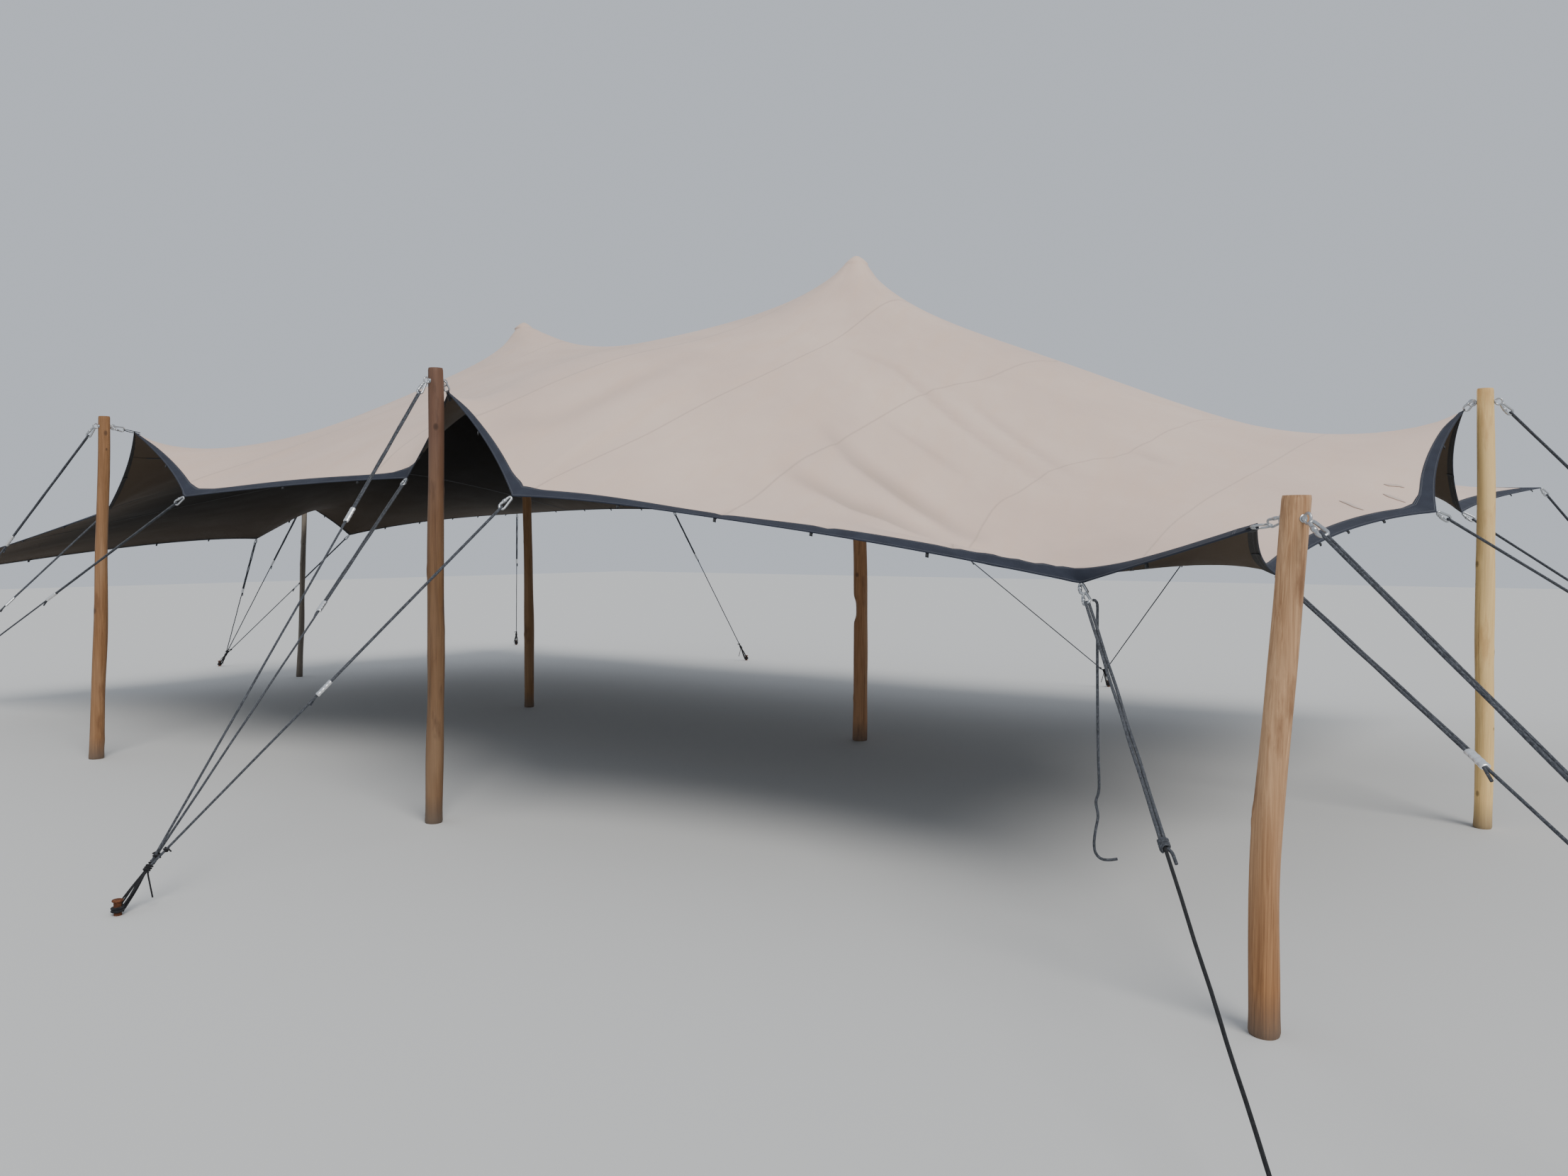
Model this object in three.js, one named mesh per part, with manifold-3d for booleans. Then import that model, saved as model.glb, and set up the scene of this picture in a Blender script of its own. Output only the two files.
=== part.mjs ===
// Stretch tent: one tensioned fabric canopy on seven round timber poles, with guy ropes and ground anchors.
// Millimetres, +Z up. The origin is the middle of the foot of the main centre pole, on the ground.
// +X runs along the long side and +Y across the tent, from the open front to the back.

import * as THREE from 'three';
import { mergeVertices } from 'three/addons/utils/BufferGeometryUtils.js';
import Module from 'manifold-3d';

const wasm = await Module();
wasm.setup();

// Canopy, as cut and laid flat
const FLAT_LENGTH = 10600;
const FLAT_DEPTH = 6600;
const PANELS = 7;
const BAND_WIDTH = 90;
const CLOTH_THICKNESS = 5;
const LARGEST_CELL = 300;
const SAME_LINE = 140;

// How the cloth shares its pull: along each rim, on the short rims that rise to a side pole, on the right rim's
// last stretch to the back corner, on the front rim between its two right-hand low ties, and round the peaks
const RIM_PULL = { front: 9850, right: 2960, back: 9000, left: 5000 };
const LOBE_PULL = 3740;
const CORNER_PULL = 20000;
const LONG_STRETCH_PULL = 4680;
const PEAK_SOFTNESS = 97;

// Lifts and sags of the cloth: place along and across, reach, and upward push on each square metre.
// The last two fill out the cones under the peaks.
const LIFTS = [
  [3200, 700, 700, -0.20],
  [3300, 1900, 900, 0.18],
  [4500, 3400, 700, -0.03],
  [5600, 3400, 700, -0.03],
  [6200, 800, 600, 0.72],
  [7900, 500, 800, 0.287],
  [7850, 0, 450, -1.33],
  [9000, 0, 600, 1.03],
  [8100, 3400, 800, 0.11],
  [9000, 786, 800, -1.04],
  [9000, 3400, 700, 0.33],
  [9900, 3400, 600, -0.25],
  [7050, 3400, 300, 7.4],
  [3450, 3400, 300, 10.0],
];

// Domed caps on the two centre poles, and the rings of the cloth grid round them
const CAP_RADIUS = 85;
const CAP_FALL = 70;
const CAP_ROUNDNESS = 1.7;
const CAP_EDGE = 10;
const CAP_TAPER = 12;
const CAP_SETBACK = 2;
const CAP_SOCKET_PLAY = 6;
const INNER_RING = 45;
const PEAK_RINGS = [INNER_RING, CAP_RADIUS, 170, 340];

// Clearance between neighbouring pieces
const GAP = 0.4;
const TIE_BITE = 2;

// Hardware and ropes
const ROPE_RADIUS = 6;
const STRAND_SPREAD = 7;
const LINK_LENGTH = 92;
const LINK_WIDTH = 46;
const LINK_BAR = 6;
const HOOK_RADIUS = 15;
const KNOT_RADIUS = 30;
const KNOT_REACH = 200;
const STAKE_RADIUS = 16;
const STAKE_HEIGHT = 70;
const STAKE_HEAD_RADIUS = 23;
const STAKE_HEAD_HEIGHT = 12;
const STROP_HEIGHT = 26;
const BOLT_RADIUS = 7;
const BOLT_BELOW_TOP = 75;
const EYE_RADIUS = 17;

const COLOURS = {
  cloth: [0xc3b6af, 0.85, 0],
  band: [0x3e4248, 0.85, 0],
  rope: [0x3a3f47, 0.9, 0],
  steel: [0xb9bec2, 0.35, 0.9],
  cap: [0x2b2b2b, 0.7, 0],
};

const TIMBER = {
  pale: 0xb58f63,
  brown: 0x7d5130,
  honey: 0xa8743f,
  yellow: 0xc49d55,
  orange: 0x93602f,
  dark: 0x5a4330,
  grey: 0x6f6459,
};

// Poles: foot, height, lean of the top, bows in one, two and three half waves, radii at foot, middle and top
const POLES = {
  front_left: {
    foot: [-4180, -3970], height: 2520, lean: [110, 60],
    bow: [6, 0, 2], radii: [50, 44, 37], timber: 'pale',
  },
  front_middle: {
    foot: [-510, -3800], height: 2580, lean: [33, 22],
    bow: [8, 0, 3], radii: [50, 46, 42], timber: 'brown',
  },
  front_corner: {
    foot: [4080, -4100], height: 1750, lean: [62, 44],
    bow: [-27, -6, 0], radii: [48, 47, 45], timber: 'honey',
  },
  right: {
    foot: [4390, -470], height: 2450, lean: [-33, -22],
    bow: [9, 0, 4], radii: [47, 50, 41], timber: 'yellow',
  },
  left: {
    foot: [-7820, -30], height: 2120, lean: [76, 54],
    bow: [5, 0, 2], radii: [34, 31, 28], timber: 'grey',
  },
  centre_main: {
    foot: [0, 0], height: 3817, lean: [-30, -21],
    bow: [14, 0, 6], radii: [58, 54, 48], timber: 'orange',
  },
  centre_second: {
    foot: [-3640, -220], height: 3647, lean: [-15, -11],
    bow: [10, 0, 4], radii: [47, 43, 40], timber: 'dark',
  },
};
const BOW_WAY = [0.8, 0.6];
const CENTRE_POLES = ['centre_main', 'centre_second'];

// Where the cloth is held: the place along the flat edge, then the point in space
const FRONT_TIES = {
  corner_front_left: [0, [-7760, -4050, 1250]],
  low_0: [2300, [-5270, -3360, 1850]],
  pole_front_left: [3150, [-4070, -3700, 2420]],
  low_1: [4000, [-3230, -3770, 1920]],
  low_2: [5350, [-1500, -3210, 2020]],
  pole_front_middle: [6150, [-480, -3690, 2450]],
  low_3: [7000, [490, -4080, 1830]],
  low_4: [9500, [3160, -3370, 1430]],
  pole_front_corner: [10600, [3990, -3910, 1650]],
};
const RIGHT_TIES = {
  low_5: [950, [3870, -3110, 1470]],
  low_6: [2450, [4247, -1518, 1750]],
  pole_right: [3400, [4254, -501, 2330]],
  low_7: [4350, [4162, 477, 1790]],
  corner_back_right: [6600, [4460, 2980, 2030]],
};
const BACK_TIES = {
  corner_back_left: [0, [-7610, 3200, 2000]],
  low_8: [2700, [-4610, 3050, 2000]],
  low_9: [5300, [-1310, 3000, 2000]],
  low_10: [7900, [2090, 2950, 2000]],
};
const LEFT_TIES = {
  low_11: [2700, [-7810, -550, 1640]],
  pole_left: [3350, [-7530, -10, 2000]],
  low_12: [4000, [-7860, 700, 1690]],
};
const PEAKS = {
  centre_main: [7050, 3880],
  centre_second: [3450, 3710],
};
const PEAK_ACROSS = 3400;

// Ground anchors, and the ropes that run to each: the tie or pole, and how far down its steel hook sits
const ANCHORS = {
  front_left: { at: [-5510, -5130], ropes: [['pole_front_left', 0.35], ['low_0', 0.41], ['low_1', 0.39]] },
  front_middle: { at: [-235, -5665], ropes: [['pole_front_middle', 0.31], ['low_2', 0.41], ['low_3', 0.53]] },
  front_right: { at: [4540, -5610], ropes: [['low_4', 0.0]] },
  front_corner: { at: [6050, -5670], ropes: [['pole_front_corner', 0.62], ['low_5', 0.37]] },
  right: { at: [6520, 900], ropes: [['pole_right', 0.4], ['low_6', 0.4], ['low_7', 0.45]] },
  back_right: { at: [5900, 4250], ropes: [['corner_back_right', 0.35]] },
  back_middle: { at: [390, 4600], ropes: [['low_9', 0.3], ['low_10', 0.3]] },
  back_left: { at: [-4650, 4600], ropes: [['low_8', 0.3]] },
  left_back: { at: [-9050, 4450], ropes: [['corner_back_left', 0.35]] },
  left: { at: [-9750, 60], ropes: [['pole_left', 0.35], ['low_11', 0.4], ['low_12', 0.4]] },
  left_front: { at: [-8950, -5150], ropes: [['corner_front_left', 0.3]] },
};

// Loose tail of the rope at the fourth low tie: sideways and downward places along it from its upper end
const TAIL_RADIUS = 6;
const TAIL_LUG = 25;
const TAIL_ROUTE = [
  [0, 0], [5, 0], [10, -1], [17, -9], [20, -30], [20, -80], [21, -200], [23, -350], [26, -507], [30, -650],
  [34, -771], [22, -826], [31, -884], [22, -940], [16, -995], [22, -1035], [44, -1060], [76, -1066], [112, -1062],
];
const TAIL_SIDE = new THREE.Vector3(0.815, 0.58, 0).normalize();

const group = new THREE.Group();
const vec = (p) => new THREE.Vector3(p[0], p[1], p[2]);

function material(slot) {
  const [colour, roughness, metalness] = COLOURS[slot];
  return new THREE.MeshStandardMaterial({ color: colour, roughness, metalness });
}

function addMesh(name, geometry, look) {
  const mesh = new THREE.Mesh(geometry, look);
  mesh.name = name;
  group.add(mesh);
}

// Joins and cuts
function toSolid(geometry) {
  const bare = geometry.clone();
  bare.deleteAttribute('normal');
  bare.deleteAttribute('uv');
  const merged = mergeVertices(bare, 1e-3);
  return new wasm.Manifold(new wasm.Mesh({
    numProp: 3,
    vertProperties: new Float32Array(merged.attributes.position.array),
    triVerts: new Uint32Array(merged.index.array),
  }));
}

function toGeometry(solid) {
  const mesh = solid.getMesh();
  const geometry = new THREE.BufferGeometry();
  geometry.setAttribute('position', new THREE.BufferAttribute(mesh.vertProperties, 3));
  geometry.setIndex(new THREE.BufferAttribute(mesh.triVerts, 1));
  geometry.computeVertexNormals();
  return geometry;
}

function joined(geometries, cutter) {
  const whole = geometries.map(toSolid).reduce((a, b) => a.add(b));
  return toGeometry(cutter ? whole.subtract(cutter) : whole);
}

// A straight round bar between two points
function bar(from, to, radius, sides = 5) {
  const length = from.distanceTo(to);
  const geometry = new THREE.CylinderGeometry(radius, radius, length, sides);
  const turn = new THREE.Quaternion().setFromUnitVectors(
    new THREE.Vector3(0, 1, 0), to.clone().sub(from).normalize());
  geometry.applyQuaternion(turn);
  geometry.translate(...from.clone().add(to).multiplyScalar(0.5).toArray());
  return geometry;
}

// A long steel link: a ring stretched along its pull, with its outer end at the start point
function link(start, pull, length = LINK_LENGTH, width = LINK_WIDTH) {
  const radius = width / 2 - LINK_BAR;
  const geometry = new THREE.TorusGeometry(radius, LINK_BAR, 4, 8);
  geometry.scale(length / width, 1, 1);
  const side = new THREE.Vector3(0, 0, 1).cross(pull);
  if (side.length() < 0.1) side.set(1, 0, 0);
  side.normalize();
  const up = pull.clone().cross(side).normalize();
  geometry.applyMatrix4(new THREE.Matrix4().makeBasis(pull, side, up));
  geometry.translate(...start.clone().addScaledVector(pull, length / 2).toArray());
  return geometry;
}

// Lines of the cloth grid: peaks, then seams and ties that aren't close to a line already, and even cells between
function gridLines(total, firm, others) {
  const stops = [...firm];
  others.forEach((place) => {
    if (stops.every((stop) => Math.abs(stop - place) > SAME_LINE)) stops.push(place);
  });
  const marks = [0, ...stops.filter((stop) => stop > 0 && stop < total).sort((m, n) => m - n), total];
  const lines = [0];
  for (let k = 1; k < marks.length; k += 1) {
    const span = marks[k] - marks[k - 1];
    const parts = Math.max(1, Math.round(span / LARGEST_CELL));
    for (let part = 1; part <= parts; part += 1) lines.push(marks[k - 1] + (span * part) / parts);
  }
  return lines;
}

function nearest(lines, value) {
  let best = 0;
  lines.forEach((line, k) => {
    if (Math.abs(line - value) < Math.abs(lines[best] - value)) best = k;
  });
  return best;
}

const placesOf = (...sides) => sides.flatMap((ties) => Object.values(ties).map((tie) => tie[0]));
const seamPlaces = Array.from({ length: PANELS - 1 }, (_, k) => ((k + 1) * FLAT_LENGTH) / PANELS);
const aroundPeak = (middle) => [middle, ...PEAK_RINGS.flatMap((ring) => [middle - ring, middle + ring])];
const peakStops = CENTRE_POLES.flatMap((name) => aroundPeak(PEAKS[name][0]));
const alongLines = gridLines(FLAT_LENGTH, peakStops, [...seamPlaces, ...placesOf(FRONT_TIES, BACK_TIES)]);
const acrossLines = gridLines(FLAT_DEPTH, aroundPeak(PEAK_ACROSS), placesOf(RIGHT_TIES, LEFT_TIES));
const NU = alongLines.length;
const NV = acrossLines.length;
const at = (i, j) => i * NV + j;

// The middle of a pole at a share of its height
function poleMiddle(pole, share) {
  const sway = pole.bow.reduce((sum, bow, k) => sum + bow * Math.sin((k + 1) * Math.PI * share), 0);
  return new THREE.Vector3(
    pole.foot[0] + pole.lean[0] * share + sway * BOW_WAY[0],
    pole.foot[1] + pole.lean[1] * share + sway * BOW_WAY[1],
    pole.height * share);
}

const poleTop = (name) => poleMiddle(POLES[name], 1);

// Points of the cloth that are held still
const held = new Map();
Object.values(FRONT_TIES).forEach(([s, p]) => held.set(at(nearest(alongLines, s), 0), p));
Object.values(RIGHT_TIES).forEach(([s, p]) => held.set(at(NU - 1, nearest(acrossLines, s)), p));
Object.values(BACK_TIES).forEach(([s, p]) => held.set(at(nearest(alongLines, s), NV - 1), p));
Object.values(LEFT_TIES).forEach(([s, p]) => held.set(at(0, nearest(acrossLines, s)), p));

// The cloth lies on each cap: square rings of the grid become round ones on its dome
const domeFall = (radius) => CAP_FALL * (radius / CAP_RADIUS) ** CAP_ROUNDNESS;
CENTRE_POLES.forEach((name) => {
  const top = poleTop(name);
  const [place, height] = PEAKS[name];
  alongLines.forEach((s, i) => {
    acrossLines.forEach((t, j) => {
      const radius = Math.max(Math.abs(s - place), Math.abs(t - PEAK_ACROSS));
      if (radius > CAP_RADIUS + 1) return;
      const angle = Math.atan2(t - PEAK_ACROSS, s - place);
      held.set(at(i, j), [
        top.x + radius * Math.cos(angle),
        top.y + radius * Math.sin(angle),
        height - domeFall(radius),
      ]);
    });
  });
});

// The pull in the cloth gathers towards the two peaks
function pullAt(s, t) {
  let pull = 0;
  CENTRE_POLES.forEach((name) => {
    pull += 1 / (Math.hypot(s - PEAKS[name][0], t - PEAK_ACROSS) + PEAK_SOFTNESS);
  });
  return pull;
}

// Pull along a rim: less where it rises to a side pole between two low ties
function rimPull(side, ties, place) {
  const stops = Object.entries(ties).map(([name, tie]) => [tie[0], name]).sort((m, n) => m[0] - n[0]);
  const next = stops.findIndex((stop) => stop[0] >= place);
  if (next < 1) return RIM_PULL[side];
  const ends = [stops[next - 1][1], stops[next][1]];
  if (side === 'right' && ends[1].includes('corner')) return CORNER_PULL;
  if (ends[0] === 'low_3') return LONG_STRETCH_PULL;
  const atCorner = ends.some((name) => name.includes('corner'));
  const risesToPole = ends.some((name) => name.startsWith('pole_')) && !atCorner;
  return risesToPole ? LOBE_PULL : RIM_PULL[side];
}

function shareWidth(lines) {
  return lines.map((line, k) => {
    const before = k > 0 ? line - lines[k - 1] : 0;
    const after = k < lines.length - 1 ? lines[k + 1] - line : 0;
    return (before + after) / 2;
  });
}

// Every thread of the grid, with its pull per length
const threads = [];
const alongShare = shareWidth(alongLines);
const acrossShare = shareWidth(acrossLines);
for (let i = 0; i < NU; i += 1) {
  for (let j = 0; j < NV; j += 1) {
    if (i < NU - 1) {
      const length = alongLines[i + 1] - alongLines[i];
      const middle = (alongLines[i] + alongLines[i + 1]) / 2;
      const front = j === 0 ? rimPull('front', FRONT_TIES, middle) : 0;
      const rim = j === NV - 1 ? rimPull('back', BACK_TIES, middle) : front;
      const pull = pullAt(middle, acrossLines[j]);
      threads.push([at(i, j), at(i + 1, j), (pull * (acrossShare[j] + rim)) / length]);
    }
    if (j < NV - 1) {
      const length = acrossLines[j + 1] - acrossLines[j];
      const middle = (acrossLines[j] + acrossLines[j + 1]) / 2;
      const left = i === 0 ? rimPull('left', LEFT_TIES, middle) : 0;
      const rim = i === NU - 1 ? rimPull('right', RIGHT_TIES, middle) : left;
      const pull = pullAt(alongLines[i], middle);
      threads.push([at(i, j), at(i, j + 1), (pull * (alongShare[i] + rim)) / length]);
    }
  }
}

// Upward push on a grid point
function liftAt(i, j) {
  let lift = 0;
  LIFTS.forEach(([along, across, reach, push]) => {
    const distance = Math.hypot(alongLines[i] - along, acrossLines[j] - across);
    lift += push * Math.exp(-((distance / reach) ** 2));
  });
  return lift * alongShare[i] * acrossShare[j] * 1e-6;
}

// The net comes to rest where the pulls at every free point cancel: solved by conjugate gradients
function restShape(axis) {
  const count = NU * NV;
  const value = new Float64Array(count);
  held.forEach((p, k) => { value[k] = p[axis]; });
  const total = new Float64Array(count);
  threads.forEach(([a, b, q]) => {
    total[a] += q;
    total[b] += q;
  });
  const outOfBalance = (x) => {
    const out = new Float64Array(count);
    threads.forEach(([a, b, q]) => {
      const force = q * (x[b] - x[a]);
      out[a] += force;
      out[b] -= force;
    });
    held.forEach((_, k) => { out[k] = 0; });
    return out;
  };
  const residual = outOfBalance(value);
  if (axis === 2) {
    residual.forEach((_, k) => {
      if (!held.has(k)) residual[k] += liftAt(Math.floor(k / NV), k % NV);
    });
  }
  const direction = residual.map((r, k) => r / total[k]);
  let energy = residual.reduce((sum, r, k) => sum + (r * r) / total[k], 0);
  const first = energy;
  for (let step = 0; step < 2000 && energy > first * 1e-22; step += 1) {
    const change = outOfBalance(direction);
    const along = -direction.reduce((sum, d, k) => sum + d * change[k], 0);
    const move = energy / along;
    direction.forEach((d, k) => {
      value[k] += move * d;
      residual[k] += move * change[k];
    });
    const next = residual.reduce((sum, r, k) => sum + (r * r) / total[k], 0);
    const keep = next / energy;
    energy = next;
    for (let k = 0; k < count; k += 1) direction[k] = residual[k] / total[k] + keep * direction[k];
  }
  return value;
}

const restX = restShape(0);
const restY = restShape(1);
const restZ = restShape(2);

// Cloth points with the inner line of the edge band added next to each rim
function withBandLines(line) {
  const inward = (from, to) => {
    const step = to.clone().sub(from);
    const reach = Math.min(BAND_WIDTH, step.length() * 0.6);
    return from.clone().addScaledVector(step.normalize(), reach);
  };
  const last = line.length - 1;
  return [line[0], inward(line[0], line[1]), ...line.slice(1, last), inward(line[last], line[last - 1]), line[last]];
}

let cloth = [];
for (let i = 0; i < NU; i += 1) {
  const row = [];
  for (let j = 0; j < NV; j += 1) row.push(new THREE.Vector3(restX[at(i, j)], restY[at(i, j)], restZ[at(i, j)]));
  cloth.push(withBandLines(row));
}
const acrossCount = cloth[0].length;
const turned = [];
for (let j = 0; j < acrossCount; j += 1) turned.push(withBandLines(cloth.map((row) => row[j])));
cloth = turned[0].map((_, i) => turned.map((row) => row[i]));
const CU = cloth.length;
const CV = acrossCount;

function clothNormal(i, j) {
  const east = cloth[Math.min(i + 1, CU - 1)][j].clone().sub(cloth[Math.max(i - 1, 0)][j]);
  const north = cloth[i][Math.min(j + 1, CV - 1)].clone().sub(cloth[i][Math.max(j - 1, 0)]);
  return east.cross(north).normalize();
}
const normals = cloth.map((row, i) => row.map((_, j) => clothNormal(i, j)));

// A cell folds along its shorter diagonal, and on the domes along the one that lies higher
const DOME_LEVEL = Math.min(...CENTRE_POLES.map((name) => PEAKS[name][1])) - CAP_FALL - 1;
const onDome = (p, q) => Math.min(p.z, q.z) > DOME_LEVEL;
const foldCost = (p, q) => p.distanceTo(q) - (onDome(p, q) ? p.z + q.z - 2 * DOME_LEVEL : 0);

// One closed sheet of cloth between two columns and two rows of the grid, grown all round where asked
function clothPatch(i0, i1, j0, j1, grown = 0) {
  const rows = j1 - j0 + 1;
  const points = [];
  for (let i = i0; i <= i1; i += 1) {
    for (let j = j0; j <= j1; j += 1) {
      const point = cloth[i][j].clone();
      const pullBack = (other) => point.addScaledVector(other.clone().sub(cloth[i][j]).normalize(), GAP / 2);
      const pushOut = (other) => point.addScaledVector(other.clone().sub(cloth[i][j]).normalize(), -grown);
      if (i === i0) (i0 > 0 ? pullBack : pushOut)(cloth[i + 1][j]);
      if (i === i1) (i1 < CU - 1 ? pullBack : pushOut)(cloth[i - 1][j]);
      if (j === j0) (j0 > 0 ? pullBack : pushOut)(cloth[i][j + 1]);
      if (j === j1) (j1 < CV - 1 ? pullBack : pushOut)(cloth[i][j - 1]);
      const half = normals[i][j].clone().multiplyScalar(CLOTH_THICKNESS / 2 + grown);
      points.push(point.clone().add(half), point.clone().sub(half));
    }
  }
  const top = (i, j) => 2 * ((i - i0) * rows + (j - j0));
  const under = (i, j) => top(i, j) + 1;
  const faces = [];
  for (let i = i0; i < i1; i += 1) {
    for (let j = j0; j < j1; j += 1) {
      const rising = foldCost(cloth[i][j], cloth[i + 1][j + 1]);
      const falling = foldCost(cloth[i + 1][j], cloth[i][j + 1]);
      const corners = rising <= falling
        ? [[i, j], [i + 1, j], [i + 1, j + 1], [i, j + 1]]
        : [[i + 1, j], [i + 1, j + 1], [i, j + 1], [i, j]];
      const [a, b, c, d] = corners;
      faces.push(top(...a), top(...b), top(...c), top(...a), top(...c), top(...d));
      faces.push(under(...a), under(...c), under(...b), under(...a), under(...d), under(...c));
    }
  }
  const wall = (a, b, flip) => {
    const quad = [top(...a), under(...a), under(...b), top(...b)];
    const [p, q, r, s] = quad;
    if (flip) faces.push(p, s, q, q, s, r);
    else faces.push(p, q, s, q, r, s);
  };
  for (let i = i0; i < i1; i += 1) {
    wall([i, j0], [i + 1, j0], false);
    wall([i, j1], [i + 1, j1], true);
  }
  for (let j = j0; j < j1; j += 1) {
    wall([i0, j], [i0, j + 1], true);
    wall([i1, j], [i1, j + 1], false);
  }
  const geometry = new THREE.BufferGeometry();
  geometry.setAttribute('position', new THREE.Float32BufferAttribute(points.flatMap((p) => p.toArray()), 3));
  geometry.setIndex(faces);
  geometry.computeVertexNormals();
  return geometry;
}

// Room kept clear round the edge band by the links that hold it
const bandRoom = [
  clothPatch(0, CU - 1, 0, 1, GAP),
  clothPatch(0, CU - 1, CV - 2, CV - 1, GAP),
  clothPatch(0, 1, 1, CV - 2, GAP),
  clothPatch(CU - 2, CU - 1, 1, CV - 2, GAP),
].map(toSolid).reduce((a, b) => a.add(b));

// Fabric panels between the seams, then the sewn edge band round them
function addCanopy() {
  const seamColumns = seamPlaces.map((place) => nearest(alongLines, place) + 1);
  const stops = [1, ...seamColumns, CU - 2];
  for (let k = 0; k < PANELS; k += 1) {
    addMesh(`canopy_panel_${k + 1}`, clothPatch(stops[k], stops[k + 1], 1, CV - 2), material('cloth'));
  }
  addMesh('edge_band_front', clothPatch(0, CU - 1, 0, 1), material('band'));
  addMesh('edge_band_back', clothPatch(0, CU - 1, CV - 2, CV - 1), material('band'));
  addMesh('edge_band_left', clothPatch(0, 1, 1, CV - 2), material('band'));
  addMesh('edge_band_right', clothPatch(CU - 2, CU - 1, 1, CV - 2), material('band'));
}

// Round timber pole: a turned profile that then leans and bows, with its foot flat on the ground
function poleGeometry(pole) {
  const [foot, middle, top] = pole.radii;
  const profile = [new THREE.Vector2(0, 0)];
  const steps = 8;
  for (let k = 0; k <= steps; k += 1) {
    const f = k / steps;
    const radius = f < 0.5 ? foot + (middle - foot) * f * 2 : middle + (top - middle) * (f - 0.5) * 2;
    profile.push(new THREE.Vector2(radius, pole.height * f));
  }
  profile.push(new THREE.Vector2(0, pole.height));
  const geometry = new THREE.LatheGeometry(profile, 12);
  geometry.rotateX(Math.PI / 2);
  const position = geometry.attributes.position;
  for (let k = 0; k < position.count; k += 1) {
    const middle = poleMiddle(pole, position.getZ(k) / pole.height);
    position.setX(k, position.getX(k) + middle.x);
    position.setY(k, position.getY(k) + middle.y);
  }
  return geometry;
}

// The eye bolt runs level through the pole, from the cloth side to the anchor side
function boltLine(name) {
  const tie = allTies[`pole_${name}`];
  const pole = POLES[name];
  const middle = poleMiddle(pole, 1 - BOLT_BELOW_TOP / pole.height);
  const inward = new THREE.Vector3(tie[0] - middle.x, tie[1] - middle.y, 0).normalize();
  const reach = pole.radii[2] + EYE_RADIUS + LINK_BAR;
  return { middle, inward, reach, eyeIn: middle.clone().addScaledVector(inward, reach),
    eyeOut: middle.clone().addScaledVector(inward, -reach) };
}

const allTies = {};
[FRONT_TIES, RIGHT_TIES, BACK_TIES, LEFT_TIES].forEach((ties) => {
  Object.entries(ties).forEach(([name, entry]) => { allTies[name] = entry[1]; });
});

function eye(centre, inward) {
  const geometry = new THREE.TorusGeometry(EYE_RADIUS, LINK_BAR, 5, 8);
  const up = new THREE.Vector3(0, 0, 1);
  geometry.applyMatrix4(new THREE.Matrix4().makeBasis(inward, up, inward.clone().cross(up)));
  geometry.translate(...centre.toArray());
  return geometry;
}

function addPole(name) {
  const solid = toSolid(poleGeometry(POLES[name]));
  const color = TIMBER[POLES[name].timber];
  const look = new THREE.MeshStandardMaterial({ color, roughness: 0.75, metalness: 0 });
  if (CENTRE_POLES.includes(name)) {
    addMesh(`pole_${name}`, toGeometry(solid), look);
    return;
  }
  const { middle, inward, reach, eyeIn, eyeOut } = boltLine(name);
  const drill = toSolid(bar(middle.clone().addScaledVector(inward, -reach),
    middle.clone().addScaledVector(inward, reach), BOLT_RADIUS + GAP, 8));
  addMesh(`pole_${name}`, toGeometry(solid.subtract(drill)), look);
  const tie = vec(allTies[`pole_${name}`]);
  const toTie = tie.clone().sub(eyeIn).normalize();
  const tip = tie.clone().addScaledVector(toTie, TIE_BITE);
  const pieces = [
    bar(
      middle.clone().addScaledVector(inward, -reach + EYE_RADIUS),
      middle.clone().addScaledVector(inward, reach - EYE_RADIUS),
      BOLT_RADIUS,
      8,
    ),
    eye(eyeIn, inward),
    eye(eyeOut, inward),
    link(eyeIn, toTie, eyeIn.distanceTo(tip), LINK_WIDTH * 0.8),
  ];
  addMesh(`pole_head_${name}`, joined(pieces, bandRoom), material('steel'));
}

// Domed eight-sided cap that sits over the end of a centre pole and carries the cloth
function addCap(name) {
  const top = poleTop(name);
  const height = PEAKS[name][1];
  const room = CLOTH_THICKNESS / 2 + 2 * GAP;
  const ringFall = domeFall(INNER_RING);
  const innerSlope = Math.atan2(ringFall, INNER_RING);
  const outerSlope = Math.atan2(CAP_FALL - ringFall, CAP_RADIUS - INNER_RING);
  const ringSlope = (innerSlope + outerSlope) / 2;
  const rimRadius = CAP_RADIUS - room * Math.sin(outerSlope) - CAP_SETBACK * Math.cos(outerSlope);
  const rimHeight = height - CAP_FALL - room * Math.cos(outerSlope) + CAP_SETBACK * Math.sin(outerSlope);
  const base = rimHeight - CAP_EDGE;
  const socketRadius = POLES[name].radii[2] + CAP_SOCKET_PLAY;
  const socketTop = top.z + GAP;
  const profile = [
    new THREE.Vector2(0, socketTop),
    new THREE.Vector2(socketRadius, socketTop),
    new THREE.Vector2(socketRadius, base),
    new THREE.Vector2(rimRadius - CAP_TAPER, base),
    new THREE.Vector2(rimRadius, rimHeight),
    new THREE.Vector2(INNER_RING - room * Math.sin(ringSlope), height - ringFall - room * Math.cos(ringSlope)),
    new THREE.Vector2(0, height - room),
  ];
  const geometry = new THREE.LatheGeometry(profile, 8);
  geometry.rotateX(Math.PI / 2);
  geometry.translate(top.x, top.y, 0);
  addMesh(`pole_cap_${name}`, toGeometry(toSolid(geometry)), material('cap'));
}

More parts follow.
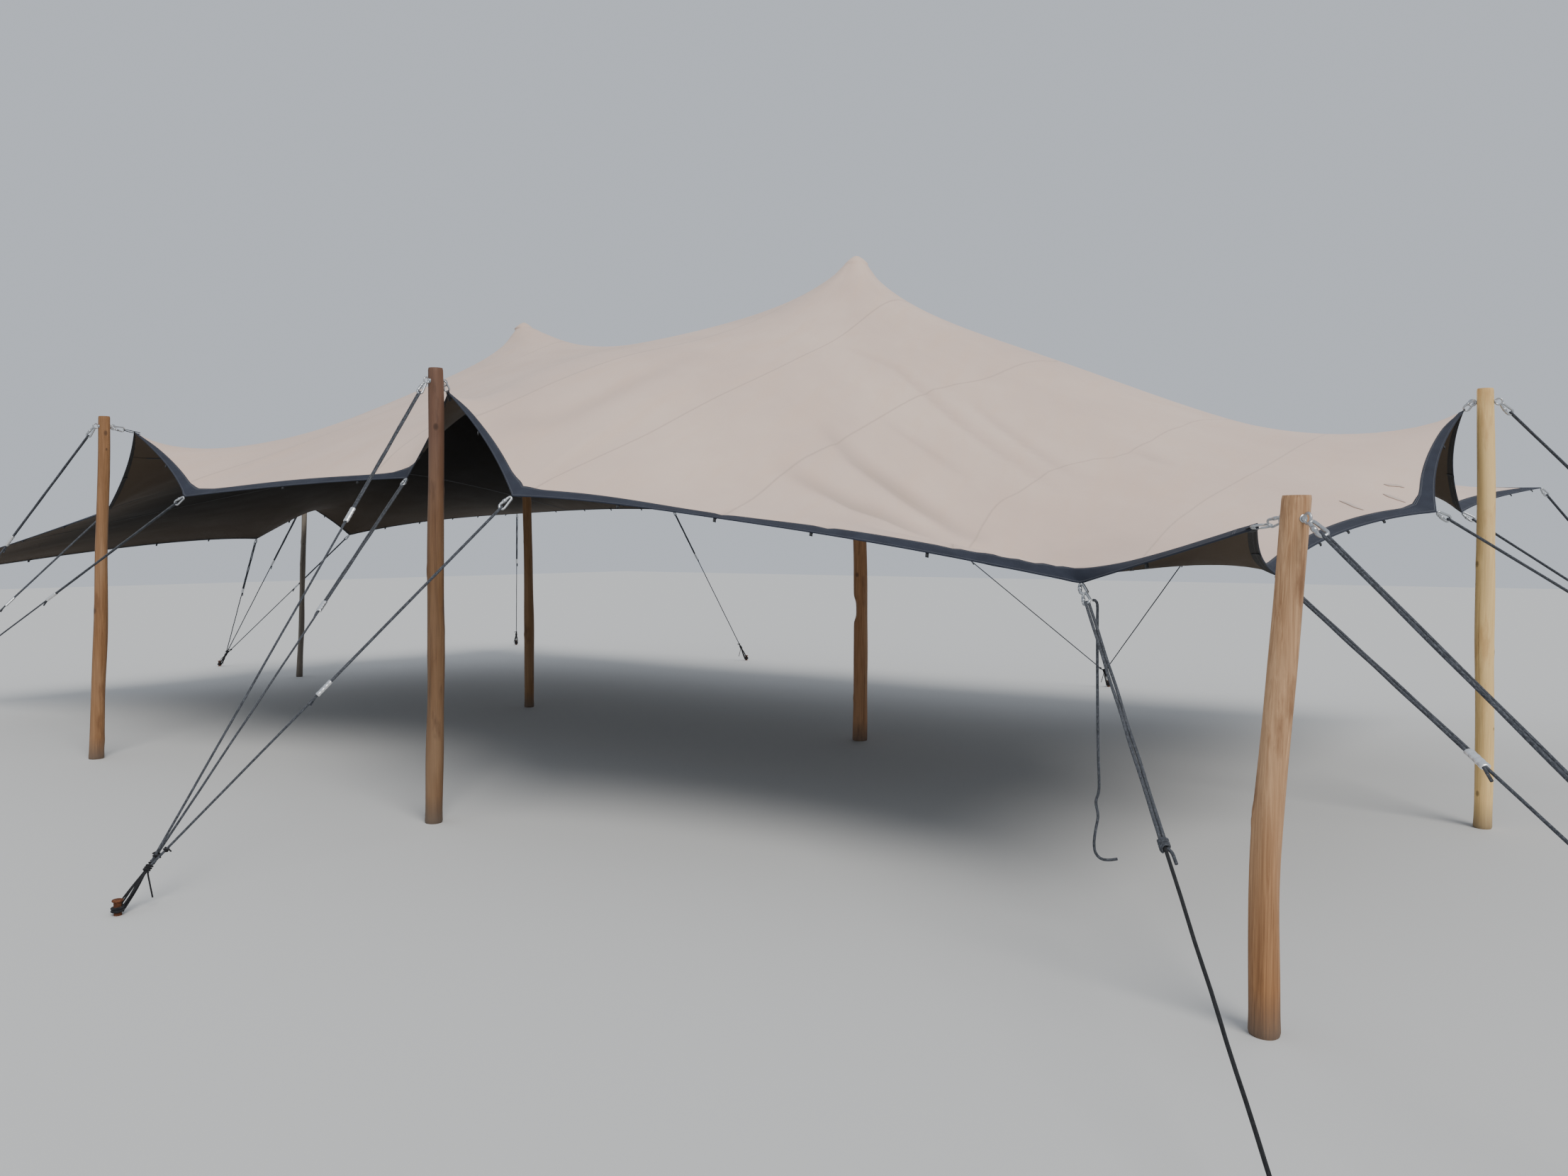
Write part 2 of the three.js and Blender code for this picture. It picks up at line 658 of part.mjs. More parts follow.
// One guy: steel link at the tie, a doubled rope down to its hook, then a single rope to the knot
function guyPieces(start, knot, hookPlace) {
  const pull = knot.clone().sub(start).normalize();
  const side = new THREE.Vector3(0, 0, 1).cross(pull).normalize().multiplyScalar(STRAND_SPREAD);
  const total = start.distanceTo(knot);
  const point = (distance) => start.clone().addScaledVector(pull, distance);
  const linkEnd = LINK_LENGTH - LINK_BAR;
  const pieces = [link(point(0), pull)];
  if (hookPlace > 0) {
    const hook = total * hookPlace;
    [-1, 1].forEach((s) => {
      const shift = side.clone().multiplyScalar(s);
      pieces.push(bar(point(linkEnd - 4).add(shift), point(hook + LINK_BAR + 4).add(shift), ROPE_RADIUS));
    });
    pieces.push(bar(point(hook), point(hook + LINK_LENGTH), HOOK_RADIUS));
    pieces.push(bar(point(hook + linkEnd), knot, ROPE_RADIUS));
  } else {
    pieces.push(bar(point(LINK_LENGTH - 2 * LINK_BAR), point(2 * LINK_LENGTH), HOOK_RADIUS));
    pieces.push(bar(point(2 * LINK_LENGTH - 3 * LINK_BAR), knot, ROPE_RADIUS));
  }
  return pieces;
}

function anchorPlaces(name) {
  const { at: place, ropes } = ANCHORS[name];
  const middle = new THREE.Vector3();
  ropes.forEach(([tie]) => middle.add(vec(allTies[tie])));
  middle.divideScalar(ropes.length);
  const foot = new THREE.Vector3(place[0], place[1], STROP_HEIGHT);
  const line = middle.sub(foot).normalize();
  return { foot, knot: foot.clone().addScaledVector(line, KNOT_REACH) };
}

function addAnchor(name) {
  const { foot, knot } = anchorPlaces(name);
  const stake = new THREE.LatheGeometry([
    new THREE.Vector2(0, 0),
    new THREE.Vector2(STAKE_RADIUS, 0),
    new THREE.Vector2(STAKE_RADIUS, STAKE_HEIGHT - STAKE_HEAD_HEIGHT),
    new THREE.Vector2(STAKE_HEAD_RADIUS, STAKE_HEIGHT - STAKE_HEAD_HEIGHT),
    new THREE.Vector2(STAKE_HEAD_RADIUS, STAKE_HEIGHT - 3),
    new THREE.Vector2(0, STAKE_HEIGHT),
  ], 8);
  stake.rotateX(Math.PI / 2);
  stake.translate(foot.x, foot.y, 0);
  addMesh(`anchor_${name}`, toGeometry(toSolid(stake)), material('steel'));

  const loopRadius = STAKE_RADIUS + GAP + ROPE_RADIUS;
  const loop = new THREE.TorusGeometry(loopRadius, ROPE_RADIUS, 4, 8);
  loop.translate(foot.x, foot.y, STROP_HEIGHT);
  const ball = new THREE.SphereGeometry(KNOT_RADIUS, 6, 4);
  ball.translate(...knot.toArray());
  const level = new THREE.Vector3(knot.x - foot.x, knot.y - foot.y, 0).normalize();
  const side = new THREE.Vector3(-level.y, level.x, 0);
  const pieces = [loop, ball];
  [-1, 1].forEach((s) => {
    const root = foot.clone().addScaledVector(side, s * loopRadius);
    pieces.push(bar(root, knot.clone().addScaledVector(side, s * 8), ROPE_RADIUS));
  });
  ANCHORS[name].ropes.forEach(([tie, hookPlace]) => {
    let start = vec(allTies[tie]);
    if (tie.startsWith('pole_')) {
      const bolt = boltLine(tie.slice(5));
      start = bolt.eyeOut;
      const pull = knot.clone().sub(start).normalize();
      start = start.clone().addScaledVector(pull, EYE_RADIUS + LINK_BAR + 1.5);
    } else {
      start = start.clone().addScaledVector(knot.clone().sub(start).normalize(), -TIE_BITE);
    }
    pieces.push(...guyPieces(start, knot, hookPlace));
  });
  if (name === 'front_right') {
    pieces.push(bar(tailRoot(), tailRoot().addScaledVector(TAIL_SIDE, TAIL_LUG), TAIL_RADIUS + 1, 8));
  }
  addMesh(`guy_ropes_${name}`, joined(pieces, bandRoom), material('rope'));
}

// Loose rope tail hanging beside the second link of the front right guy
function tailRoot() {
  const { knot } = anchorPlaces('front_right');
  const tie = vec(allTies.low_4);
  const pull = knot.clone().sub(tie).normalize();
  return tie.addScaledVector(pull, 1.5 * LINK_LENGTH);
}

function addTail() {
  const start = tailRoot().addScaledVector(TAIL_SIDE, TAIL_LUG + GAP);
  const route = TAIL_ROUTE.map(([sway, rise]) => start.clone().addScaledVector(TAIL_SIDE, sway)
    .add(new THREE.Vector3(0, 0, rise)));
  const circle = new THREE.Shape();
  circle.absarc(0, 0, TAIL_RADIUS, 0, 2 * Math.PI, false);
  const geometry = new THREE.ExtrudeGeometry(circle, {
    steps: 40, curveSegments: 4, bevelEnabled: false, extrudePath: new THREE.CatmullRomCurve3(route),
  });
  addMesh('loose_rope_tail', toGeometry(toSolid(geometry)), material('rope'));
}

addCanopy();
Object.keys(POLES).forEach(addPole);
CENTRE_POLES.forEach(addCap);
Object.keys(ANCHORS).forEach(addAnchor);
addTail();

export default group;
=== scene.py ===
import math

import bpy
import numpy as np
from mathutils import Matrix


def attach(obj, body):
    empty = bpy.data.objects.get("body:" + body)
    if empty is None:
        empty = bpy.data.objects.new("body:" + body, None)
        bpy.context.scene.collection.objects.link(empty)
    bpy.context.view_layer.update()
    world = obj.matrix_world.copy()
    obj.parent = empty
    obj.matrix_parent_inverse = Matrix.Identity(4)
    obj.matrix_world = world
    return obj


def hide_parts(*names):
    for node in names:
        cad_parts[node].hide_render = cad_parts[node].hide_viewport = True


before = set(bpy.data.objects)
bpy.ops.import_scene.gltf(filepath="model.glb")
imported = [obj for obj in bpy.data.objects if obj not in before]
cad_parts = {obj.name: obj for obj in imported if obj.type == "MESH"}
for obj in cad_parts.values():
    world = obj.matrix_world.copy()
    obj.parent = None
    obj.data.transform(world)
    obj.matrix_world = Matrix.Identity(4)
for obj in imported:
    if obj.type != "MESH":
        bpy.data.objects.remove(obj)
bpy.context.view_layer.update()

# Stretch tent: one tensioned canopy on seven timber poles, with guy ropes and ground anchors.
# Metres, +Z up. The origin is the middle of the foot of the main centre pole.

for name in ("Cube", "Light", "Camera"):
    if name in bpy.data.objects:
        bpy.data.objects.remove(bpy.data.objects[name])
random = np.random.default_rng(11)
up = np.array([0, 0, 1.0])
BLACK = (0, 0, 0)
TURN = 2 * math.pi

# The cloth's cut, the line of the peaks across it, half its thickness, the webbing's width, a rope's radius
LENGTH, DEPTH = 10.6, 6.6
ACROSS = 3.4
HALF = 0.00125
BAND = 0.09
ROPE = 0.006


def add_object(name, data):
    obj = bpy.data.objects.new(name, data)
    bpy.context.collection.objects.link(obj)
    return obj


camera_data = bpy.data.cameras.new("camera")
camera_data.lens = 27.03
camera_data.sensor_width = 36
camera_data.clip_end = 200
camera = add_object("camera", camera_data)
camera.location = (4.991, -8.080, 1.6)
camera.rotation_euler = (math.radians(90 - 2.224), 0, math.radians(35.41))
bpy.context.scene.camera = camera


# Geometry helpers

def unit(v):
    v = np.asarray(v, float)
    return v / np.maximum(np.linalg.norm(v, axis=-1, keepdims=True), 1e-12)


def level(v):
    return unit(np.array([v[0], v[1], 0.0]))


def bell(x):
    """1 at zero, falling smoothly to nothing about two units away."""
    return np.exp(-np.square(x))


def lengths(path):
    """How far along a path each of its points lies."""
    return np.r_[0, np.cumsum(np.linalg.norm(np.diff(path, axis=0), axis=1))]


def read_line(at, places, values):
    """Points read along a line that has a row of values for each place."""
    return np.stack([np.interp(at, places, values[:, axis]) for axis in range(3)], -1)


def route(start, ways, steps):
    """Points beside a start: each step says how far they go along each of the ways."""
    return start + np.asarray(steps, float) @ np.array(ways)


def arc(middle, a, b, radius, start, end, parts):
    """Points on an arc; a and b are the ways of its plane."""
    t = np.linspace(start, end, parts)[:, None]
    return middle + radius * (np.cos(t) * a + np.sin(t) * b)


def smooth_path(points, step):
    """Catmull-Rom curve through the points, with a point about every step metres."""
    p = np.asarray(points, float)
    p = np.vstack([2 * p[0] - p[1], p, 2 * p[-1] - p[-2]])
    out = []
    for k in range(1, len(p) - 2):
        a, b, c, d = p[k - 1:k + 3]
        parts = max(1, int(round(np.linalg.norm(c - b) / step)))
        t = (np.arange(parts) / parts)[:, None]
        out.append(0.5 * (2 * b + (c - a) * t + (2 * a - 5 * b + 4 * c - d) * t ** 2
                          + (3 * b - a - 3 * c + d) * t ** 3))
    return np.vstack(out + [p[-2][None]])


def square_to(way, hint=None):
    """A unit vector square to the way, towards the hint, or upwards without one."""
    first = up if hint is None else np.asarray(hint, float)
    if abs(way @ unit(first)) > 0.95:
        first = np.array([1.0, 0, 0])
    return unit(first - way * (first @ way))


def side_vectors(path, closed=False, hint=None):
    """Two side vectors for each point, carried along the path without twist."""
    if closed:
        tangent = unit(np.roll(path, -1, 0) - np.roll(path, 1, 0))
    else:
        tangent = unit(np.gradient(path, axis=0))
    side = [square_to(tangent[0], hint)]
    for way in tangent[1:]:
        side.append(unit(side[-1] - way * (side[-1] @ way)))
    side = np.array(side)
    return side, np.cross(tangent, side)


def hoop(side, other, sides, flat=1.0):
    """Unit rings that start at one side vector and turn to the other, which flat shortens."""
    angle = np.linspace(0, TURN, sides, endpoint=False)[:, None]
    return np.cos(angle) * side[..., None, :] + flat * np.sin(angle) * other[..., None, :]


class Shape:
    """Gathers the faces of one piece. UVs are in metres; look is the number of a face's material."""

    def __init__(self):
        self.points, self.quads, self.caps, self.quad_uv, self.cap_uv = [], [], [], [], []
        self.quad_look, self.cap_look, self.marks = [], [], {}
        self.count = 0

    def note(self, count, marks):
        for key in set(self.marks) | set(marks):
            self.marks.setdefault(key, [np.zeros(self.count)] if self.count else [])
            self.marks[key].append(np.asarray(marks.get(key, np.zeros(count)), float).ravel())
        self.count += count

    def grid(self, points, along, across, wrap=False, look=0, flip=False, **marks):
        """A grid of points as quads, with its UVs; wrap joins the last column to the first."""
        n, m = points.shape[:2]
        i = np.arange(n - 1)[:, None]
        j = np.arange(m if wrap else m - 1)[None, :]
        ring = (j + 1) % m
        corners = [(i, j, j), (i + 1, j, j), (i + 1, ring, j + 1), (i, ring, j + 1)]
        if flip:
            corners = corners[:1] + corners[:0:-1]
        quad = np.stack([np.broadcast_to(a * m + b, (n - 1, j.size)) for a, b, _ in corners], -1)
        across = np.asarray(across, float)
        along = np.asarray(along, float)
        uv = np.stack([np.stack(np.broadcast_arrays(along[a], across[c]), -1) for a, _, c in corners], -2)
        self.points.append(points.reshape(-1, 3))
        self.quads.append(quad.reshape(-1, 4) + self.count)
        self.quad_uv.append(uv.reshape(-1, 2))
        self.quad_look.append(np.full(quad.size // 4, look))
        self.note(n * m, marks)

    def cap(self, ring, look=0, flip=False):
        """A flat many-sided face."""
        ring = np.asarray(ring)[::-1] if flip else np.asarray(ring)
        self.points.append(ring)
        self.caps.append((np.arange(len(ring)) + self.count).tolist())
        middle = ring.mean(0)
        a = unit(ring[0] - middle)
        b = unit(np.cross(np.cross(ring[0] - middle, ring[len(ring) // 3] - middle), a))
        self.cap_uv.append(np.stack([(ring - middle) @ a, (ring - middle) @ b], -1))
        self.cap_look.append(look)
        self.note(len(ring), {})

    def bar(self, points, along, look=0, ends=(True, True), end_look=None, **marks):
        """Rings of points as a round form, with flat ends."""
        sides = points.shape[1]
        self.grid(points, along, np.arange(sides + 1) / sides, wrap=True, look=look, flip=True, **marks)
        for end, ring, flip in zip(ends, (points[0], points[-1]), (True, False)):
            if end:
                self.cap(ring, look if end_look is None else end_look, flip=flip)

    def tube(self, path, radius, sides=8, closed=False, look=0, hint=None, flat=1.0):
        """A round or oval rod along a path; flat squeezes it along its second side vector."""
        path = np.asarray(path, float)
        side, other = side_vectors(path, closed, hint)
        if closed:
            # the side vectors turn a little at each ring, so that the last ring meets the first
            path = np.vstack([path, path[:1]])
            last = side_vectors(path, False, hint)[0][-1]
            turn = math.atan2(last @ other[0], last @ side[0])
            steps = np.linspace(0, 1, len(side), endpoint=False)[:, None] * -turn
            c, s = np.cos(steps), np.sin(steps)
            side, other = side * c + other * s, other * c - side * s
            side, other = np.vstack([side, side[:1]]), np.vstack([other, other[:1]])
        radius = np.broadcast_to(np.asarray(radius, float), (len(path),))[:, None, None]
        points = path[:, None] + hoop(side, other, sides, flat) * radius
        self.bar(points, lengths(path), look, (not closed, not closed))

    def strand(self, points, radius, look=0, step=0.006):
        """A tube along a smooth curve through the points."""
        self.tube(smooth_path(points, step), radius, look=look)

    def lathe(self, middle, axis, profile, sides=24):
        """A turned form: profile lists (radius, place along the axis)."""
        axis = unit(axis)
        side = square_to(axis)
        profile = np.asarray(profile, float)
        points = (np.asarray(middle) + profile[:, 0, None, None] * hoop(side, np.cross(axis, side), sides)
                  + profile[:, 1, None, None] * axis)
        self.bar(points, lengths(profile), 0, profile[[0, -1], 0] > 1e-6)

    def piece(self, name, *materials):
        """Makes the Blender object. It rides on the one body that the tent has."""
        faces = np.concatenate(self.quads).tolist() if self.quads else []
        mesh = bpy.data.meshes.new(name)
        mesh.from_pydata(np.concatenate(self.points), [], faces + self.caps)
        layer = mesh.uv_layers.new(name="UVMap")
        layer.data.foreach_set("uv", np.concatenate(self.quad_uv + self.cap_uv).ravel().astype(np.float32))
        looks = np.concatenate(self.quad_look + [np.array(self.cap_look, int)]).astype(np.int32)
        mesh.polygons.foreach_set("material_index", looks)
        mesh.polygons.foreach_set("use_smooth", np.arange(len(looks)) < len(faces))
        for key, values in self.marks.items():
            mesh.attributes.new(key, 'FLOAT', 'POINT').data.foreach_set(
                "value", np.concatenate(values).astype(np.float32))
        for material in materials:
            mesh.materials.append(material)
        mesh.update()
        obj = add_object(name, mesh)
        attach(obj, "root")
        return obj


# Material helpers

class Value:
    """What a shader node gives. Arithmetic on it adds nodes."""

    def __init__(self, look, socket):
        self.look, self.socket = look, socket

    def math(self, operation, *others):
        return self.look.math(operation, self, *others)

    def __add__(self, other):
        return self.math('ADD', other)

    def __sub__(self, other):
        return self.math('SUBTRACT', other)

    def __rsub__(self, other):
        return self.look.math('SUBTRACT', other, self)

    def __mul__(self, other):
        return self.math('MULTIPLY', other)

    def __truediv__(self, other):
        return self.math('DIVIDE', other)

    def __gt__(self, other):
        return self.math('GREATER_THAN', other)

    def __lt__(self, other):
        return self.math('LESS_THAN', other)


class Look:
    """A material: its shader, a base colour laid on in layers, and short calls for the nodes that feed it."""

    def __init__(self, name, base=None, **sockets):
        self.material = bpy.data.materials.new(name)
        self.material.use_nodes = True
        self.tree = self.material.node_tree
        self.shader = self.tree.nodes["Principled BSDF"]
        self.base, self.normal = base, None
        self.set(**sockets)

    def put(self, socket, value):
        if isinstance(value, Value):
            self.tree.links.new(value.socket, socket)
        else:
            socket.default_value = value

    def set(self, **sockets):
        for key, value in sockets.items():
            self.put(self.shader.inputs[key.replace("_", " ")], value)

    def node(self, kind, inputs=(), **settings):
        node = self.tree.nodes.new(kind)
        for key, value in settings.items():
            setattr(node, key, value)
        for key, value in dict(inputs).items():
            self.put(node.inputs[key], value)
        return node

    def read(self, kind, output, inputs=(), **settings):
        return Value(self, self.node(kind, inputs, **settings).outputs[output])

    def uv(self):
        return self.read('ShaderNodeUVMap', 0, uv_map="UVMap")

    def place(self):
        return self.read('ShaderNodeTexCoord', "Object")

    def mark(self, name):
        return self.read('ShaderNodeAttribute', "Fac", attribute_name=name)

    def part(self, vector, axis):
        return self.read('ShaderNodeSeparateXYZ', axis, {0: vector})

    def scaled(self, vector, x, y, z=1.0):
        return self.read('ShaderNodeMapping', 0, {"Vector": vector, "Scale": (x, y, z)})

    def noise(self, vector, scale, detail=4.0, rough=0.55, distortion=0.0):
        return self.read('ShaderNodeTexNoise', "Fac", {"Vector": vector, "Scale": scale, "Detail": detail,
                                                       "Roughness": rough, "Distortion": distortion})

    def waves(self, vector, scale, direction):
        return self.read('ShaderNodeTexWave', "Fac", {"Vector": vector, "Scale": scale, "Distortion": 0.6,
                                                      "Detail": 0.0}, bands_direction=direction)

    def math(self, operation, *values):
        node = self.node('ShaderNodeMath', operation=operation)
        for socket, value in zip(node.inputs, values):
            self.put(socket, value)
        return Value(self, node.outputs[0])

    def ramp(self, factor, *stops):
        """Grey levels or colours by their place on the factor."""
        node = self.node('ShaderNodeValToRGB', {"Fac": factor})
        elements = node.color_ramp.elements
        while len(elements) < len(stops):
            elements.new(0.5)
        for element, (place, colour) in zip(elements, stops):
            element.position = place
            element.color = np.broadcast_to(np.asarray(colour, float), 3).tolist() + [1]
        return Value(self, node.outputs[0])

    def cover(self, colour, factor, *stops, blend='MIX'):
        """Lays a colour over the base by the factor, which goes through a ramp if there are stops."""
        factor = self.ramp(factor, *stops) if stops else factor
        node = self.node('ShaderNodeMix', {0: factor}, data_type='RGBA', blend_type=blend)
        for socket, value in ((node.inputs[6], self.base), (node.inputs[7], colour)):
            self.put(socket, value if isinstance(value, Value) else tuple(value) + (1,))
        self.base = Value(self, node.outputs[2])

    def bump(self, height, distance, strength):
        inputs = {"Height": height, "Distance": distance, "Strength": strength}
        if self.normal is not None:
            inputs["Normal"] = self.normal
        self.normal = self.read('ShaderNodeBump', 0, inputs)

    def done(self):
        self.set(Base_Color=self.base, Normal=self.normal)
        return self.material


def mixed(a, b, t):
    return tuple(x + (y - x) * t for x, y in zip(a, b))


def darker(colour, t):
    return mixed(colour, BLACK, t)


# Materials

def cloth_look(name, light, dark, warm, sheen, shine, rim=None, seams=1.0):
    """Coated two-way stretch knit: fine ribs, dust, faint water marks, and seams between its widths, with
    painted shade in its folds and towards its left end, and painted light near its edges where rim is given.
    """
    look = Look(name, light, Roughness=0.62, Specular_IOR_Level=shine, Sheen_Weight=sheen,
                Sheen_Roughness=0.5)
    uv = look.uv()
    reach = look.part(uv, 0) / LENGTH
    cloud = look.noise(look.scaled(uv, 3.2, 0.9), 2.1, 6, 0.62, 0.4)
    look.cover(dark, look.noise(uv, 1.3, 5, 0.6), (0.3, 0.0), (0.72, 1.0))
    look.cover(warm, cloud, (0.48, 0.0), (0.75, 0.6))
    look.cover(darker(dark, 0.45), look.noise(uv, 160, 3, 0.7), (0.62, 0.0), (0.8, 0.35))
    # painted shade: the colour is darkened towards the left end of the cloth, where less light falls on it
    look.cover(look.ramp(reach, (0.0, 0.80), (0.5, 0.94), (0.95, 1.0)), 1.0, blend='MULTIPLY')
    # painted shade: the fold mark darkens the colour in the hollows of the folds
    look.cover(darker(dark, 0.45), look.mark("fold") * 0.60)
    # painted light: a lighter brown is laid on the underside near its edges, where light from outside falls
    # on it
    if rim:
        look.cover(rim, look.mark("rim"))
    # The width mark is a whole number on each seam, and the widths are about a metre: so this is in metres.
    # A seam is felled for 10 mm to each side, with a groove in the middle and stitches 5 mm from it.
    seam = look.mark("width").math('PINGPONG', 0.5)
    felled = (look.ramp(seam, (0.0, seams), (0.005, 0.8 * seams), (0.010, 0.0))
              * look.ramp(reach, (0.76, 1.0), (0.84, 0.5)))
    groove = seam < 0.0011 * seams
    stitches = (look.part(uv, 1) * 170).math('FRACT') > 0.32
    thread = seam.math('COMPARE', 0.0052, 0.0010) * stitches
    look.cover(darker(dark, 0.35), felled * 0.20)
    look.cover(darker(dark, 0.5), groove * 0.5)
    look.cover(darker(dark, 0.3), thread * 0.5)
    look.set(Roughness=look.ramp(cloud, (0.3, 0.56), (0.75, 0.7)))
    look.bump(look.waves(uv, 130, 'Y') + look.waves(uv, 170, 'X') * 0.6, 0.00025, 0.5)
    look.bump(felled + thread * 0.4 - groove, 0.0012, 0.7)
    look.bump(look.noise(look.scaled(uv, 1.2, 2.6), 7, 4, 0.5), 0.004, 0.35)
    return look.done()


def webbing_look(name, light, dark, rows):
    """Woven webbing: cross ribs and a diagonal twill, with rows of stitches at places across its width."""
    look = Look(name, light, Roughness=0.8, Specular_IOR_Level=0.22, Sheen_Weight=0.04)
    uv = look.uv()
    along, across = look.part(uv, 0), look.part(uv, 1)
    twill = (along * 2600 + across * 1900).math('SINE')
    weave = twill * 0.5 + (along * 3400).math('SINE') * 0.5
    wear = look.noise(uv, 9, 5, 0.65)
    stitches = (along * 190).math('FRACT') > 0.3
    threads = 0.0
    for place in rows:
        threads = (across.math('COMPARE', place, 0.0011) * stitches).math('MAXIMUM', threads)
    look.cover(dark, wear, (0.35, 0.0), (0.7, 1.0))
    look.cover(darker(dark, 0.5), (weave + 1.0) * 0.14)
    look.cover(mixed(light, (0.35, 0.35, 0.36), 0.35), threads)
    look.bump(threads, 0.0008, 0.7)
    look.bump(weave, 0.0003, 0.6)
    look.bump(wear, 0.002, 0.3)
    return look.done()


def timber_look(name, light, dark, bark, tint, height, girth, cracks):
    """Peeled round timber: long grain, drying cracks, dark knots with rings, and scraps of inner bark."""
    look = Look(name, light, Roughness=0.62, Specular_IOR_Level=0.35)
    place, uv, knot = look.place(), look.uv(), look.mark("knot")
    along, around = look.part(uv, 0), look.part(uv, 1)
    jitter = look.noise(look.scaled(uv, 1, 0.01), 45, 3)
    crack = -1.0
    for turn, middle, half, sway in cracks:
        wave = along.math('MULTIPLY_ADD', 7.0, sway).math('SINE')
        line = jitter.math('MULTIPLY_ADD', 0.014, wave.math('MULTIPLY_ADD', 0.010, turn))
        off = (around - line).math('WRAP', 0.5, -0.5).math('ABSOLUTE')
        share = (along - middle) / half
        crack = ((1.0 - share * share) * 0.0016 - off * girth).math('MAXIMUM', crack)
    crack = look.ramp(crack.math('MULTIPLY_ADD', 400, 0.5), (0.45, 0.0), (0.80, 1.0))
    warp = look.noise(look.scaled(place, 6, 6, 1.2), 1.0, 3)
    grain = look.noise(look.scaled(place, 95, 95, 2.2), 1.0, 6, 0.62, 1.1)
    fine = look.noise(look.scaled(place, 260, 260, 5), 1.0, 3, 0.6)
    blotch = look.noise(look.scaled(place, 9, 9, 2.2), 1.0, 5, 0.6)
    rings = (knot * 16).math('SINE') > 0.55
    look.cover(dark, grain, (0.32, 0.0), (0.68, 1.0))
    look.cover(darker(dark, 0.35), fine, (0.35, 0.0), (0.75, 0.4))
    look.cover(mixed(light, (0.6, 0.45, 0.3), 0.4), warp, (0.4, 0.0), (0.7, 0.35))
    look.cover(bark, blotch, (0.56, 0.0), (0.68, 0.75))
    look.cover(mixed(dark, (0.03, 0.015, 0.008), 0.72), knot,
               (0.0, 0.9), (0.35, 0.75), (0.75, 0.45), (1.0, 0.0))
    look.cover(mixed(dark, (0.02, 0.01, 0.006), 0.9), rings * look.ramp(knot, (0.1, 0.5), (0.9, 0.0)))
    if tint:
        look.cover(look.ramp(along / height, *tint), 1.0, blend='MULTIPLY')
    look.cover(mixed(dark, (0.012, 0.008, 0.005), 0.75), crack * 0.85)
    look.cover((0.10, 0.085, 0.07), look.part(place, 2), (0.0, 0.75), (0.16, 0.0))
    look.set(Roughness=look.ramp(grain, (0.3, 0.5), (0.7, 0.72)))
    look.bump(grain, 0.0012, 0.6)
    look.bump(fine, 0.0004, 0.5)
    look.bump(1.0 - crack, 0.0014, 0.7)
    look.bump(look.ramp(blotch, (0.56, 0.0), (0.6, 1.0)), 0.0011, 0.6)
    return look.done()


def end_grain_look(name, light, dark):
    look = Look(name, light, Roughness=0.8)
    uv = look.uv()
    reach = look.read('ShaderNodeVectorMath', "Value", {0: uv}, operation='LENGTH')
    rings = (reach * 1900 + look.noise(uv, 40, 3) * 5).math('SINE')
    look.cover(dark, rings.math('MULTIPLY_ADD', 0.5, 0.5), (0.3, 0.0), (0.9, 0.8))
    look.cover((0.12, 0.1, 0.085), look.noise(uv, 55, 5), (0.5, 0.0), (0.7, 0.6))
    look.bump(rings, 0.0004, 0.6)
    return look.done()


def steel_look(name, tone, spangle=0.25):
    """Galvanised steel: bright zinc with soft cloudy crystals and dull rubbed places."""
    look = Look(name, tone, Metallic=1.0)
    place = look.place()
    crystals = look.read('ShaderNodeTexVoronoi', 0, {"Vector": place, "Scale": 210}, feature='F1')
    cloud = look.noise(place, 60, 5, 0.6)
    look.cover(mixed(tone, (1, 1, 1), spangle), crystals, (0.0, 0.0), (1.0, 1.0))
    look.cover(mixed(tone, (0.2, 0.2, 0.2), 0.55), cloud, (0.45, 0.0), (0.8, 0.6))
    look.set(Roughness=look.ramp(cloud, (0.3, 0.255), (0.8, 0.578)))
    look.bump(look.noise(place, 380, 4), 0.0002, 0.5)
    return look.done()


def rust_look(name):
    look = Look(name, Roughness=0.85, Specular_IOR_Level=0.25)
    place = look.place()
    patches, pits = look.noise(place, 70, 6, 0.65), look.noise(place, 330, 5, 0.7)
    look.base = look.ramp(patches, (0.25, (0.035, 0.016, 0.010)), (0.5, (0.13, 0.045, 0.020)),
                          (0.75, (0.24, 0.10, 0.045)))
    look.cover((0.045, 0.03, 0.025), pits, (0.5, 0.0), (0.7, 0.7))
    look.bump(pits, 0.0012, 0.8)
    look.bump(patches, 0.002, 0.6)
    return look.done()


def rope_look(name, light, dark, fleck):
    """Braided rope: two sets of strands crossing round it, mottled, with lighter tracer flecks."""
    look = Look(name, light, Roughness=0.85, Specular_IOR_Level=0.2, Sheen_Weight=0.08)
    uv = look.uv()
    along, around = look.part(uv, 0) * (1 / (ROPE * 3.0)), look.part(uv, 1)
    left, right = [(way * (8 * TURN)).math('SINE') for way in (along + around, along - around)]
    braid = left.math('MAXIMUM', right)
    spots = look.ramp(look.noise(look.scaled(uv, 1, 0.08), 90, 2), (0.52, 0.0), (0.58, 1.0))
    look.cover(dark, look.noise(look.scaled(uv, 1, 0.05), 26, 4, 0.6), (0.36, 0.0), (0.66, 1.0))
    look.cover(fleck, (left > right) * spots * 0.7)
    look.cover(darker(dark, 0.7), braid, (0.1, 0.5), (0.6, 0.0))
    look.bump(braid, ROPE * 0.16, 0.5)
    look.bump(look.noise(look.scaled(uv, 1, 0.02), 1400, 2), ROPE * 0.05, 0.5)
    return look.done()


def cap_look(name):
    look = Look(name, Specular_IOR_Level=0.4)
    place = look.place()
    dust = look.noise(place, 24, 5, 0.6)
    look.base = look.ramp(dust, (0.3, (0.016, 0.016, 0.017)), (0.75, (0.045, 0.042, 0.038)))
    look.set(Roughness=look.ramp(dust, (0.3, 0.45), (0.75, 0.75)))
    look.bump(look.noise(place, 520, 3), 0.0004, 0.5)
    return look.done()


